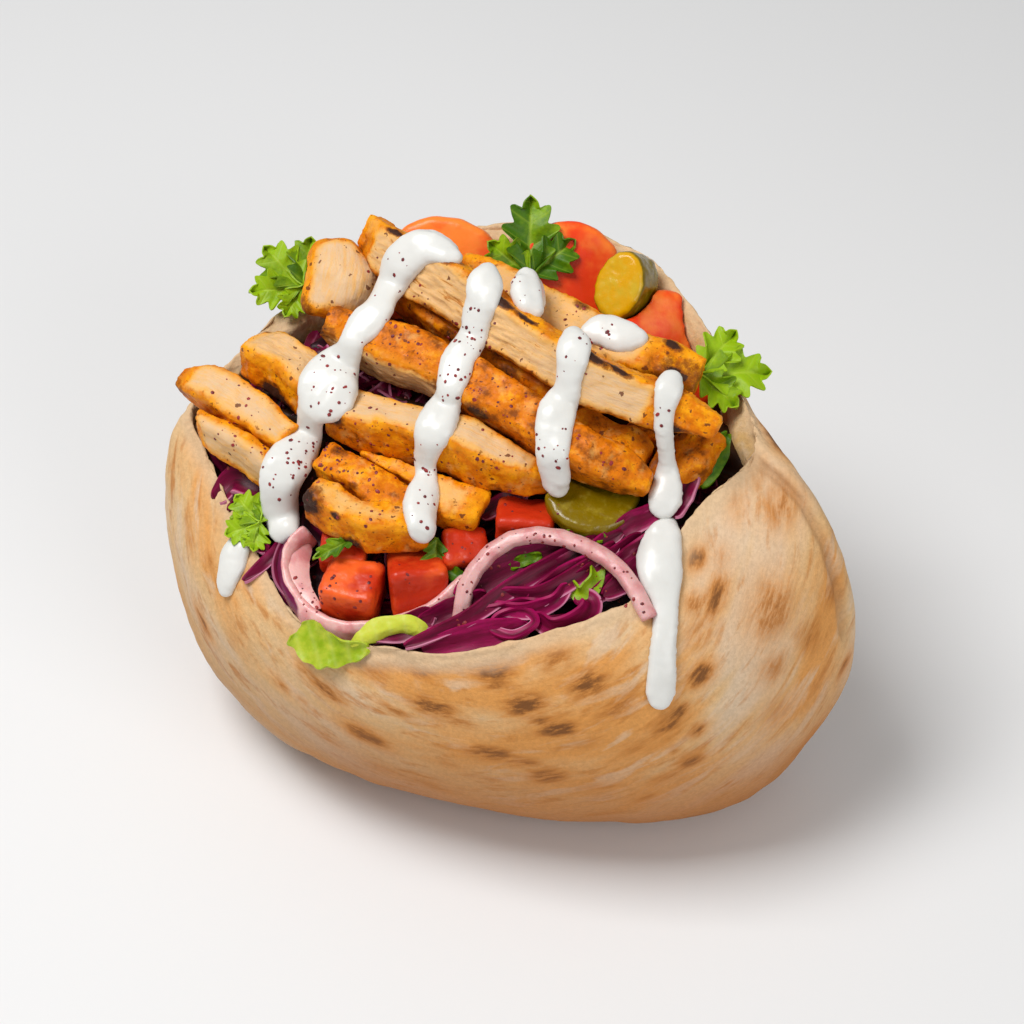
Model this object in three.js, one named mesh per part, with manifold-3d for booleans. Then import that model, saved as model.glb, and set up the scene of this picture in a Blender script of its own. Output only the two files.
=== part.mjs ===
// Doner kebab sandwich: a round pita pocket, opened wide and standing on its base, heaped with
// shredded salad, tomato, pickle and onion, topped with grilled chicken strips, herb leaves and
// thick trails of yoghurt sauce.
//
// Frame: millimetres, +Z up, origin at the centre of the flat spot that the bread rests on.
// +X is the sandwich's right, -Y its front (the low side of the mouth), +Y its back.

import * as THREE from "three";
import { mergeVertices } from "three/addons/utils/BufferGeometryUtils.js";
import Module from "manifold-3d";

const wasm = await Module();
wasm.setup();

const { sin, cos, abs, sqrt, PI, min, max, exp, floor } = Math;
const DEG = PI / 180;

// ---------------------------------------------------------------- driving dimensions
const BREAD_WALL = 5; // thickness of the pita's wall
const GAP = 0.35; // clearance between pieces that touch
const MOUTH_CENTRE = new THREE.Vector3(-12, 10, 88);
const MOUTH_TILT_X = 0.08; // rise of the mouth per mm towards the right
const MOUTH_TILT_Y = 0.317; // rise of the mouth per mm towards the back

// The pocket's shape at 16 stations, from the right-hand seam round by the back: the edge of
// the flat base (x, y), the widest line of the belly (x, y, z) and the mouth's rim (x, y, z).
const BREAD_STATIONS = [
  [59, -3, 87, -3, 49, 57, 10, 96],
  [53, 12, 67, 15, 57, 52, 26, 98.5],
  [38, 20, 50, 39, 66, 42, 42, 102],
  [20, 22, 29, 57, 72, 23, 61, 107.5],
  [0, 22, 2, 67, 74, -1, 70, 108],
  [-20, 21, -30, 64, 72, -32, 64, 103],
  [-39, 18, -58, 46, 66, -58, 46, 94.5],
  [-53, 9, -77, 27, 60, -74, 30, 87.5],
  [-57, -2, -88, 5, 52, -82, 12, 80],
  [-51, -12, -80, -17, 46, -72, -3, 75.5],
  [-40, -19, -62, -36, 43, -58, -21, 69],
  [-21, -21, -36, -48, 41, -40, -40, 62],
  [0, -21.5, -4, -54, 41, -10, -46, 67],
  [26, -22.5, 28, -53, 41, 15, -41, 75],
  [47, -21.5, 58, -43, 43, 37, -29, 80],
  [59, -14, 79, -24, 44, 45, -5, 88],
];

// ---------------------------------------------------------------- shared helpers
// A repeatable random number in 0..1 for each seed and index.
const random = (seed, index = 0) => {
  const value = sin(seed * 127.1 + index * 311.7) * 43758.5453;
  return value - floor(value);
};

// A bump of height 1 at centre, on a circle whose turn is 0..1, that fades over width.
const bump = (round, centre, width) => {
  const apart = abs(((round - centre + 1.5) % 1) - 0.5);
  return exp(-((apart / width) ** 2));
};

// A closed solid through rings of equal length; each end is closed by a fan to its middle.
function loft(rings) {
  const sides = rings[0].length;
  const middle = (ring) =>
    ring.reduce((sum, p) => sum.add(p), new THREE.Vector3()).divideScalar(sides);
  const points = [...rings.flat(), middle(rings[0]), middle(rings.at(-1))];
  const [first, last] = [points.length - 2, points.length - 1];
  const faces = [];
  for (let i = 0; i < sides; i++) {
    const j = (i + 1) % sides;
    faces.push(first, j, i);
    faces.push(last, (rings.length - 1) * sides + i, (rings.length - 1) * sides + j);
    for (let k = 0; k < rings.length - 1; k++) {
      const [a, b, c, d] = [k * sides + i, k * sides + j, (k + 1) * sides + j, (k + 1) * sides + i];
      faces.push(a, b, c, a, c, d);
    }
  }
  const geometry = new THREE.BufferGeometry().setFromPoints(points);
  geometry.setIndex(faces);
  return geometry;
}

// ---------------------------------------------------------------- pita bread
// The mouth's height at a place: a plane that rises to the back and a little to the right.
const mouthHeight = (x, y) =>
  MOUTH_CENTRE.z + MOUTH_TILT_X * (x - MOUTH_CENTRE.x) + MOUTH_TILT_Y * (y - MOUTH_CENTRE.y);

const roundBread = (pick) =>
  new THREE.CatmullRomCurve3(BREAD_STATIONS.map((station) => new THREE.Vector3(...pick(station))), true);
const baseLine = roundBread((s) => [s[0], s[1], 0]);
const bellyLine = roundBread((s) => s.slice(2, 5));
const rimLine = roundBread((s) => s.slice(5, 8));

// A point of the outer skin. round runs 0..1 from the right-hand seam round by the back;
// share 0 is the base's edge, 1 the belly and 2 the rim.
function breadSkin(round, share) {
  const [base, belly, rim] = [baseLine, bellyLine, rimLine].map((line) => line.getPoint((round + 1) % 1));
  const turn = (share % 1 || (share > 0 ? 1 : 0)) * 90 * DEG;
  if (share <= 1) {
    const point = base.lerp(belly, sin(turn));
    return point.setZ(belly.z * (1 - cos(turn)));
  }
  const height = belly.z + (rim.z - belly.z) * sin(turn);
  return belly.lerp(rim, 1 - cos(turn)).setZ(height);
}

// The skin's outward normal, from its two slopes.
function breadNormal(round, share) {
  const low = max(0.02, share - 0.01);
  const high = min(1.97, share + 0.01);
  const along = breadSkin(round + 0.002, share).sub(breadSkin(round - 0.002, share));
  const up = breadSkin(round, high).sub(breadSkin(round, low));
  return along.cross(up).normalize();
}

// A ring of points that follows the skin at some depth under it.
const BREAD_COLUMNS = 48;
const breadRing = (share, depth) =>
  Array.from({ length: BREAD_COLUMNS }, (_, column) => {
    // Columns crowd towards the two side seams, where the bread turns sharply.
    const round = column / BREAD_COLUMNS - 0.045 * sin((column / BREAD_COLUMNS) * 4 * PI);
    const seam = 1.6 * (bump(round, 0, 0.012) + bump(round, 0.5, 0.012)) * (share > 0.5 ? 1 : 0);
    const point = breadSkin(round, share);
    return point.addScaledVector(breadNormal(round, share), seam - depth);
  });

function pitaBread() {
  const outerShares = [0.22, 0.44, 0.66, 0.88, 1.1, 1.32, 1.54, 1.76, 1.93];
  const innerShares = [1.88, 1.6, 1.25, 0.9, 0.58, 0.3];
  return loft([
    breadRing(0, 0).map((point) => point.setZ(0)),
    ...outerShares.map((share) => breadRing(share, 0)),
    breadRing(2, BREAD_WALL / 2),
    ...innerShares.map((share) => breadRing(share, BREAD_WALL)),
  ]);
}

// ---------------------------------------------------------------- placing
// A point given by its plan position and its height above the mouth.
const at = (x, y, height) => new THREE.Vector3(x, y, mouthHeight(x, y) + height);
const UP = new THREE.Vector3(0, 0, 1);

// A ring of points round a centre: a squared ellipse in the plane of the two half axes, whose
// points crowd towards its four corners by crowding, in radians.
const oval = (centre, halfA, halfB, sides, squareness = 2, crowding = 0) =>
  Array.from({ length: sides }, (_, k) => {
    const even = ((k + 0.5) / sides) * 2 * PI;
    const turn = even + crowding * sin(4 * even);
    const [c, s] = [cos(turn), sin(turn)];
    const reach = (abs(c) ** squareness + abs(s) ** squareness) ** (-1 / squareness);
    return centre.clone().addScaledVector(halfA, c * reach).addScaledVector(halfB, s * reach);
  });

// A bar along a smooth path. size(u) gives its half width and half height at u = 0..1, and
// roll turns its section about the path, in degrees.
function bar({
  path,
  size,
  roll = 0,
  stations = 10,
  sides = 8,
  squareness = 3,
  crowding = 0,
  wobble = 0,
  seed = 0,
}) {
  const line = new THREE.CatmullRomCurve3(path.map((point) => at(...point)), false, "centripetal");
  const rings = Array.from({ length: stations }, (_, k) => {
    // The end stations sit close to their neighbours, so the ends come out rounded.
    const even = k / (stations - 1);
    const u = 0.5 - 0.5 * (0.35 * cos(even * PI) + 0.65 * (1 - 2 * even));
    const along = line.getTangentAt(u);
    const side = UP.clone().cross(along).normalize();
    const top = along.clone().cross(side);
    side.applyAxisAngle(along, roll * DEG);
    top.applyAxisAngle(along, roll * DEG);
    const [width, height] = size(u);
    side.multiplyScalar(width);
    top.multiplyScalar(height);
    const ring = oval(line.getPointAt(u), side, top, sides, squareness, crowding);
    return ring.map((point, n) => {
      const push = wobble * (random(seed, k * sides + n) - 0.5);
      return point.addScaledVector(point.clone().sub(line.getPointAt(u)).normalize(), push);
    });
  });
  return loft(rings);
}

// ---------------------------------------------------------------- chicken strips
// Each strip of breast is listed from its back-left end to its front-right one, topmost first:
// its path, width, thickness, roll in degrees, how blunt its two ends are (0..1), and whether it
// is a rounded end piece of the fillet. The rest are cut square.
const STRIPS = [
  { path: [[-44, 47, 19], [-34, 38, 21], [-22.5, 31, 22.5], [-5.5, 20.5, 23], [11, 12, 22.5], [26, 6.5, 21], [41, 5, 19], [50, 2, 17.5]], width: 8, height: 13, roll: -32, ends: [0.75, 0.4] },
  { path: [[-48, 24, 13], [-37, 20, 14], [-22, 15, 15], [-5, 8, 15], [20, -3, 11.5], [36, -6, 8]], width: 11.5, height: 14.5, roll: 25, ends: [0.8, 0.45] },
  { path: [[-44, 6, 8.5], [-34, 3, 9.3], [-15, -1, 9.8], [1, -4.5, 9], [12.5, -6, 6]], width: 10.5, height: 13, roll: 3, ends: [0.85, 0.35] },
  { path: [[-20, 44, 12], [-9, 39, 12.5], [4, 32.5, 12], [16, 27, 12.5], [31, 23, 11.5], [43, 21, 9.5]], width: 12, height: 10, roll: 20, ends: [0.6, 0.85] },
  { path: [[-48, 45, 16], [-48.5, 37, 14.5], [-49, 29, 11]], width: 18, height: 11, roll: -14, ends: [0.75, 0.85], rounded: true },
  { path: [[-67, 20, 9.5], [-60, 16, 10.5], [-52.5, 12, 10.5], [-44, 7, 9]], width: 12, height: 12.5, roll: -5, ends: [0.8, 0.85] },
  { path: [[-83.5, 11, 8.5], [-73, 8, 9], [-64, 4, 8.5], [-53, -2, 7]], width: 10, height: 9, roll: 18, ends: [0.6, 0.85] },
  { path: [[-77, 4, 6.5], [-70, -1, 6.5], [-63, -4, 6], [-52, -10, 4]], width: 8.5, height: 10.5, roll: 0, ends: [0.5, 0.8] },
  { path: [[-44, -4, 5.5], [-31, -11, 6], [-15, -18, 3]], width: 9.5, height: 9, roll: 18, ends: [0.8, 0.6] },
  { path: [[-44, -15, 6], [-36, -18, 6.3], [-25, -21, 6], [-14, -20, 4.3]], width: 10, height: 11, roll: 2, ends: [0.85, 0.55] },
  { path: [[-35, -2, 3], [-18, -8, 3], [-3, -12, 1.5]], width: 12, height: 10, roll: 16, ends: [0.8, 0.75] },
  { path: [[-35, 40, 9], [-15, 28, 11], [2, 19, 11], [15, 12, 8]], width: 11, height: 11, roll: 16, ends: [0.7, 0.7] },
  { path: [[13, 10, 6], [22, 6, 6], [34, 3, 4]], width: 10, height: 10, roll: 10, ends: [0.8, 0.7] },
  { path: [[27, 12, 2], [34, 6, 2], [41, 0, 0]], width: 10, height: 9, roll: 8, ends: [0.8, 0.7] },
  { path: [[37, 0, 0.5], [43, 6, 1.5], [48, 13, 1]], width: 11, height: 10, roll: -8, ends: [0.7, 0.75] },
];

const chickenStrip = ({ path, width, height, roll, ends, rounded }, seed) =>
  bar({
    path,
    size: (u) => {
      const start = ends[0] + (1 - ends[0]) * min(1, u / 0.2) ** 0.5;
      const finish = ends[1] + (1 - ends[1]) * min(1, (1 - u) / 0.25) ** 0.5;
      const uneven = 1 + 0.08 * sin(u * 9 + seed * 2.3);
      return [(width / 2) * start * finish * uneven, (height / 2) * start * finish * (2 - uneven)];
    },
    roll,
    stations: 10,
    sides: 8,
    squareness: rounded ? 3 : 8,
    crowding: rounded ? 0 : 0.25,
    wobble: 0.8,
    seed,
  });

// ---------------------------------------------------------------- salad heap
// The height of the packed salad above the mouth: low at the front, high under the chicken.
const mound = (x, y, centreX, centreY, reachX, reachY) =>
  exp(-(((x - centreX) / reachX) ** 2) - ((y - centreY) / reachY) ** 2);
const heapHeight = (x, y) =>
  -6 + 24 * mound(x, y, -4, 20, 48, 27) + 9 * mound(x, y, -56, 10, 24, 18) + 4 * mound(x, y, 16, -28, 22, 12);

// The packed salad fills the pocket and stays just under every piece that lies on it.
function saladCore() {
  const wall = [0.3, 0.58, 0.9, 1.25, 1.6].map((share) =>
    breadRing(share, BREAD_WALL + 0.8).filter((_, column) => column % 2 === 0)
  );
  const middle = new THREE.Vector3(-6, 16, 0);
  const pieces = settled.map((other) => other.mesh).filter((mesh) => mesh.name !== "pita_bread");
  const ray = new THREE.Raycaster();
  // The underside of whatever lies over a spot, if anything does.
  const ceiling = (x, y) => {
    ray.set(new THREE.Vector3(x, y, 20), UP);
    const [hit] = ray.intersectObjects(pieces, false);
    return hit ? hit.point.z - 1.5 : Infinity;
  };
  const around = [[0, 0], [3, 0], [-3, 0], [0, 3], [0, -3]];
  const dome = [0.92, 0.8, 0.66, 0.5, 0.33, 0.16].map((share) =>
    wall.at(-1).map((edge) => {
      const { x, y } = middle.clone().lerp(edge, share);
      const blend = min(1, (1 - share) / 0.2);
      const height = edge.z + (mouthHeight(x, y) + heapHeight(x, y) - edge.z) * blend;
      return new THREE.Vector3(x, y, min(height, ...around.map(([dx, dy]) => ceiling(x + dx, y + dy))));
    })
  );
  return loft([...wall, ...dome]);
}

// Ribbons of red cabbage that lie on the heap, and a few dark green shreds among them.
const SHREDS = [
  [[-10, -41, -4], [0, -33, -1], [13, -24, 0], [31, -20, -1]],
  [[-7, -44, -5], [7, -39, -2], [19, -31, 0], [29, -24, -1]],
  [[-14, -40, -5], [-4, -35, -2], [9, -31, 0], [26, -30, -1]],
  [[-1, -41, -4], [13, -36, -2], [27, -34, -2]],
  [[8, -22, -1], [26, -14, 1], [45, -5, 2]],
  [[18, -23, 0], [33, -13, 1], [43, -8, 2]],
  [[24, -29, -2], [37, -20, 0], [45, -10, 1]],
  [[-7, -31, -2], [6, -23, -1], [19, -18, 0]],
  [[2, -27, -1], [16, -26, 1], [29, -17, 1]],
  [[-58, -22, -6], [-53, -20, -4], [-46, -20, -6]],
  [[-57, -18, -5], [-50, -26, -5], [-45, -31, -7]],
  [[-69, -7, -6], [-66, -5, -3], [-59, -9, -5]],
  [[46, 12, -3], [47, 3, 0], [41, -4, -1]],
  [[30, -14, -1], [25, -20, 1], [23, -29, 0]],
];

const shred = (path, seed) =>
  bar({
    path,
    size: (u) => [1.2 + 1.1 * sin(u * PI), 0.8],
    roll: 50 * (random(seed) - 0.3),
    stations: 5,
    sides: 4,
    squareness: 2,
  });

// ---------------------------------------------------------------- vegetables
// A flat round slice that faces along its normal.
function disc({ centre, normal, radii, thickness, sides = 16 }) {
  const across = UP.clone().cross(normal).normalize();
  const rise = normal.clone().cross(across);
  const bevel = min(1, thickness * 0.22);
  const profile = [
    [-thickness / 2, bevel],
    [-thickness / 2 + bevel, 0],
    [thickness / 2 - bevel, 0],
    [thickness / 2, bevel],
  ];
  return loft(
    profile.map(([depth, inset]) =>
      oval(
        at(...centre).addScaledVector(normal, depth),
        across.clone().multiplyScalar(radii[0] - inset),
        rise.clone().multiplyScalar(radii[1] - inset),
        sides
      )
    )
  );
}

const direction = (x, y, z) => new THREE.Vector3(x, y, z).normalize();

// Slices that stand inside the back of the mouth, from left to right.
const TOMATO_SLICES = [
  { centre: [-26.5, 49, -0.8], normal: direction(0.05, -0.76, 0.65), radii: [18, 18.5], thickness: 6 },
  { centre: [5, 53, -0.4], normal: direction(0.2, -0.74, 0.64), radii: [14.5, 15.5], thickness: 6 },
  { centre: [31, 38, -5], normal: direction(0.45, -0.6, 0.66), radii: [17, 17], thickness: 6 },
];

const PICKLES = [
  { centre: [20.5, 47.5, 6], normal: direction(-0.25, -0.72, 0.64), radii: [6.4, 8.8], thickness: 12, sides: 14 },
  { centre: [22, -5.5, 2.5], normal: direction(0.05, -0.22, 0.97), radii: [11.5, 11.5], thickness: 5, sides: 18 },
];

// Diced tomato: the path runs from one face of a cube to the opposite one.
const TOMATO_CUBES = [
  { path: [[-38.5, -29, -5], [-31, -30.5, -4], [-23.8, -31, -4.5]], width: 12, height: 13, roll: 8 },
  { path: [[-23, -29, -4], [-16, -26, -3], [-9, -24, -3]], width: 13, height: 13.5, roll: -14 },
  { path: [[-12, -21, -2], [-5, -18, -2], [0, -17, -3]], width: 11, height: 12, roll: 12 },
  { path: [[0, -13, -1], [7, -11, -0.5], [15, -11, -2]], width: 12, height: 11, roll: -8 },
  { path: [[-42, -23, -2], [-35, -21, -1], [-29, -21, -2]], width: 10, height: 9, roll: 15 },
];

const tomatoCube = ({ path, width, height, roll }) =>
  bar({
    path,
    size: (u) => [(width / 2) * (1 - 0.5 * abs(2 * u - 1) ** 8), (height / 2) * (1 - 0.5 * abs(2 * u - 1) ** 8)],
    roll,
    stations: 5,
    sides: 8,
    squareness: 4,
    wobble: 0.6,
    seed: path[0][0],
  });

const onionArch = () =>
  bar({
    path: [[-3.5, -36.5, -2], [-3, -30, 2], [1, -24, 4.5], [7, -20, 5.5], [15, -19, 5.5], [22, -20, 5], [30, -23, 4], [36, -28, 3], [41, -34, 1]],
    size: () => [2.2, 1.9],
    stations: 14,
    sides: 6,
  });

const onionRing = () =>
  bar({
    path: [[-4, -26, -3], [-11, -34, -4], [-20, -38, -5], [-30, -39.5, -6], [-38, -38, -6], [-44, -34, -6], [-48.5, -28, -6], [-49, -22, -5], [-45, -17, -4]],
    size: (u) => [1.5, 3 + 1.2 * u],
    stations: 16,
    sides: 6,
  });

// ---------------------------------------------------------------- leaves
// A thin leaf: an outline of reach(turn) round its centre, turn 0 towards the tip, gently waved.
function leaf({ centre, normal, tip, thickness, sides, reach, wave }) {
  const forward = tip.clone().addScaledVector(normal, -tip.dot(normal)).normalize();
  const left = normal.clone().cross(forward);
  const place = (turn, share, depth) => {
    const radius = reach(turn) * share;
    const lift = wave * (radius / reach(0)) ** 2 * sin(3 * turn) + depth;
    return at(...centre)
      .addScaledVector(forward, radius * cos(turn))
      .addScaledVector(left, radius * sin(turn))
      .addScaledVector(normal, lift);
  };
  const ring = (share, depth) =>
    Array.from({ length: sides }, (_, k) => place((k / sides) * 2 * PI, share, depth));
  return loft([ring(0.5, -thickness / 2), ring(1, -thickness / 2), ring(1, thickness / 2), ring(0.5, thickness / 2)]);
}

// Coriander: a long middle lobe, two side lobes, two small ones and a stalk.
const LOBES = [
  [0, 25, 1],
  [72, 25, 0.88],
  [-72, 25, 0.88],
  [122, 18, 0.6],
  [-122, 18, 0.6],
  [180, 9, 0.9],
];
const corianderReach = (size) => (turn) => {
  const degrees = turn / DEG;
  const lobe = LOBES.map(([centre, width, height]) => {
    const apart = abs(((degrees - centre + 540) % 360) - 180);
    return height * exp(-((apart / width) ** 2));
  });
  return size * (0.26 + 0.74 * max(...lobe));
};

// The way a trail of sauce falls on the sandwich: from the front and above.
const POUR = new THREE.Vector3(0.141, -0.693, 0.707).normalize();
const ACROSS = UP.clone().cross(POUR).normalize();
const RISE = POUR.clone().cross(ACROSS);
// A direction in the plane that faces the pour: right, up and towards it.
const facing = (right, up, out = 0) =>
  ACROSS.clone().multiplyScalar(right).addScaledVector(RISE, up).addScaledVector(POUR, out).normalize();

const HERBS = [
  { centre: [-64, 48, 2.5], normal: facing(0.1, 0.2, 1), tip: facing(-0.62, 0.78), size: 12.5, sides: 22 },
  { centre: [-5, 57, 7], normal: facing(0, 0.1, 1), tip: facing(-0.05, 1), size: 13.5, sides: 22 },
  { centre: [51, 27, 6.5], normal: facing(0.1, 0.3, 1), tip: facing(1, 0.18), size: 11, sides: 22 },
  { centre: [-59, -15, -1.5], normal: facing(-0.2, 0.2, 1), tip: facing(-0.9, -0.3), size: 6, sides: 16 },
  { centre: [-12, -24, 4], normal: facing(0, 0.2, 1), tip: facing(0.5, -0.7), size: 5, sides: 18 },
  { centre: [-40, -27, 3], normal: facing(0, 0.4, 1), tip: facing(-0.9, -0.4), size: 5.5, sides: 18 },
];

const herbLeaf = ({ size, ...place }) =>
  leaf({ ...place, thickness: 0.9, reach: corianderReach(size), wave: 0.08 * size });

// Lettuce: a ruffled strip that lies over the front of the rim.
function lettuce({ path, width, roll, ruffle }) {
  const line = new THREE.CatmullRomCurve3(path.map((point) => at(...point)), false, "centripetal");
  const [stations, spans] = [7, 3];
  const rings = Array.from({ length: stations }, (_, k) => {
    const u = k / (stations - 1);
    const along = line.getTangentAt(u);
    const side = UP.clone().cross(along).normalize();
    const top = along.clone().cross(side);
    side.applyAxisAngle(along, roll * DEG);
    top.applyAxisAngle(along, roll * DEG);
    const half = (width / 2) * (0.45 + 0.55 * sin(PI * u));
    const row = (depth) =>
      Array.from({ length: spans + 1 }, (_, n) => {
        const v = (n / spans) * 2 - 1;
        const lift = ruffle * sin(u * 11 + v) * abs(v) + depth;
        return line.getPointAt(u).addScaledVector(side, half * v).addScaledVector(top, lift);
      });
    return [...row(-0.6), ...row(0.6).reverse()];
  });
  return loft(rings);
}

const LETTUCES = [
  { path: [[-43, -39, -5], [-38, -43, -5], [-31, -45, -4], [-25, -44, -3.5]], width: 10, roll: 32, ruffle: 1.3 },
  { path: [[-27, -45, -3], [-21, -43, -1], [-15, -42, -1], [-9, -42, -2]], width: 7, roll: 10, ruffle: 1 },
];

// ---------------------------------------------------------------- assembly
const COLOURS = {
  bread: { color: "#dcb283", roughness: 0.85 },
  chicken: { color: "#d98b3a", roughness: 0.55 },
  tomato: { color: "#d2402a", roughness: 0.35 },
  pickle: { color: "#a39a1e", roughness: 0.35 },
  onion: { color: "#dfa3b0", roughness: 0.35 },
  lettuce: { color: "#9fce3c", roughness: 0.45 },
  herb: { color: "#4c9b1d", roughness: 0.5 },
  salad: { color: "#6d1f52", roughness: 0.5 },
  sauce: { color: "#f3f1ea", roughness: 0.3 },
};

const toSolid = (geometry) => {
  const bare = new THREE.BufferGeometry();
  bare.setAttribute("position", geometry.getAttribute("position"));
  bare.setIndex(geometry.index);
  const merged = mergeVertices(bare, 1e-3);
  return new wasm.Manifold(
    new wasm.Mesh({
      numProp: 3,
      vertProperties: new Float32Array(merged.getAttribute("position").array),
      triVerts: new Uint32Array(merged.index.array),
    })
  );
};

const toGeometry = (solid) => {
  const mesh = solid.getMesh();
  const geometry = new THREE.BufferGeometry();
  geometry.setAttribute("position", new THREE.BufferAttribute(mesh.vertProperties, 3));
  geometry.setIndex(new THREE.BufferAttribute(mesh.triVerts, 1));
  return geometry;
};

const joined = (...geometries) => toGeometry(wasm.Manifold.union(geometries.map(toSolid)));

// A copy whose surface stands off by a clearance.
function grown(geometry, clearance) {
  const copy = geometry.clone();
  copy.computeVertexNormals();
  const [position, normal] = [copy.getAttribute("position"), copy.getAttribute("normal")];
  const [point, push] = [new THREE.Vector3(), new THREE.Vector3()];
  for (let i = 0; i < position.count; i++) {
    point.fromBufferAttribute(position, i).addScaledVector(push.fromBufferAttribute(normal, i), clearance);
    position.setXYZ(i, ...point);
  }
  return toSolid(copy).add(toSolid(geometry));
}

// The sandwich holds one group for each ingredient, in the order they are added.
const sandwich = new THREE.Group();
const ingredients = {};
function ingredient(name) {
  if (!ingredients[name]) {
    ingredients[name] = new THREE.Group();
    ingredients[name].name = name;
    sandwich.add(ingredients[name]);
  }
  return ingredients[name];
}

const settled = []; // the pieces placed so far, with the shape and box that others keep clear of

const largest = (solid) => solid.decompose().sort((a, b) => b.volume() - a.volume())[0];

// Adds a piece: whatever is placed already keeps its room, and the piece gives way to it. Where
// a loose fit will do, it gives way to a simple hull round each piece that is not hollow.
function add(name, geometry, finish, looseness = 0) {
  const box = new THREE.Box3().setFromBufferAttribute(geometry.getAttribute("position"));
  const near = settled.filter((other) => other.box.intersectsBox(box));
  const room = (other) =>
    looseness && !other.hollow
      ? grown(other.geometry, looseness).hull().simplify(looseness * 0.6)
      : grown(other.geometry, GAP);
  const taken = wasm.Manifold.union(near.map(room));
  const whole = toSolid(geometry);
  let made = geometry;
  if (near.length && whole.intersect(taken).volume() > 0) {
    const cut = largest(whole.subtract(taken));
    const bare = wasm.Manifold.union(near.map((other) => toSolid(other.geometry)));
    const eased = [1, 0.8, 0.6, 0.45, 0.3, 0.15].map((share) => cut.simplify(share * max(0.2, looseness / 2)));
    const kept = eased.find((solid) => solid.intersect(bare).volume() === 0) ?? cut;
    made = toGeometry(largest(toSolid(toGeometry(kept))));
  }
  const mesh = new THREE.Mesh(made, new THREE.MeshStandardMaterial({ metalness: 0, ...COLOURS[finish] }));
  mesh.name = name;
  ingredient(finish).add(mesh);
  const hollow = finish === "bread" || finish === "onion";
  settled.push({ mesh, geometry, hollow, box: box.expandByScalar(1.5) });
}

// ---------------------------------------------------------------- sauce
// Each trail is listed in the plane that faces the pour: across, up and half width.
const TRAILS = {
  sauce_strand_1: [[-16, 115, 3], [-22, 115, 5], [-27, 109, 5], [-33, 102, 4.5], [-37, 96, 5], [-41, 87, 8], [-45, 80, 5], [-47, 71, 4], [-51, 63, 8], [-52, 54, 5.5], [-51, 46, 4.5]],
  sauce_strand_2: [[-4, 106, 4.5], [-5, 98, 5.5], [-9, 90, 4], [-11, 82, 5], [-15, 73, 5.5], [-17, 66, 6.5], [-18, 57, 3.5], [-18, 47, 4]],
  sauce_strand_3: [[5, 110, 3.5], [6.5, 104, 4], [8, 98, 3.2]],
  sauce_strand_4: [[16, 93, 4.5], [15, 84, 4.5], [13, 76, 3.5], [12, 66, 6], [13, 56, 4]],
  sauce_strand_5: [[22, 99, 3.5], [28, 95, 4.5], [33, 90, 4]],
  sauce_strand_6: [[38, 83, 4.5], [37, 74, 3.5], [37, 66, 2.8], [39, 59, 4.5], [38, 52, 4.5]],
  sauce_drip_right: [[38, 46, 3.5], [36, 39, 6], [36, 30, 4.5], [36, 18, 3.8], [36, 8, 4], [36, 2.5, 4]],
  sauce_drip_left: [[-61, 46, 4], [-65, 40, 4], [-66, 33, 3.2]],
};
const SAUCE_THICKNESS = 3;

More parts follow.
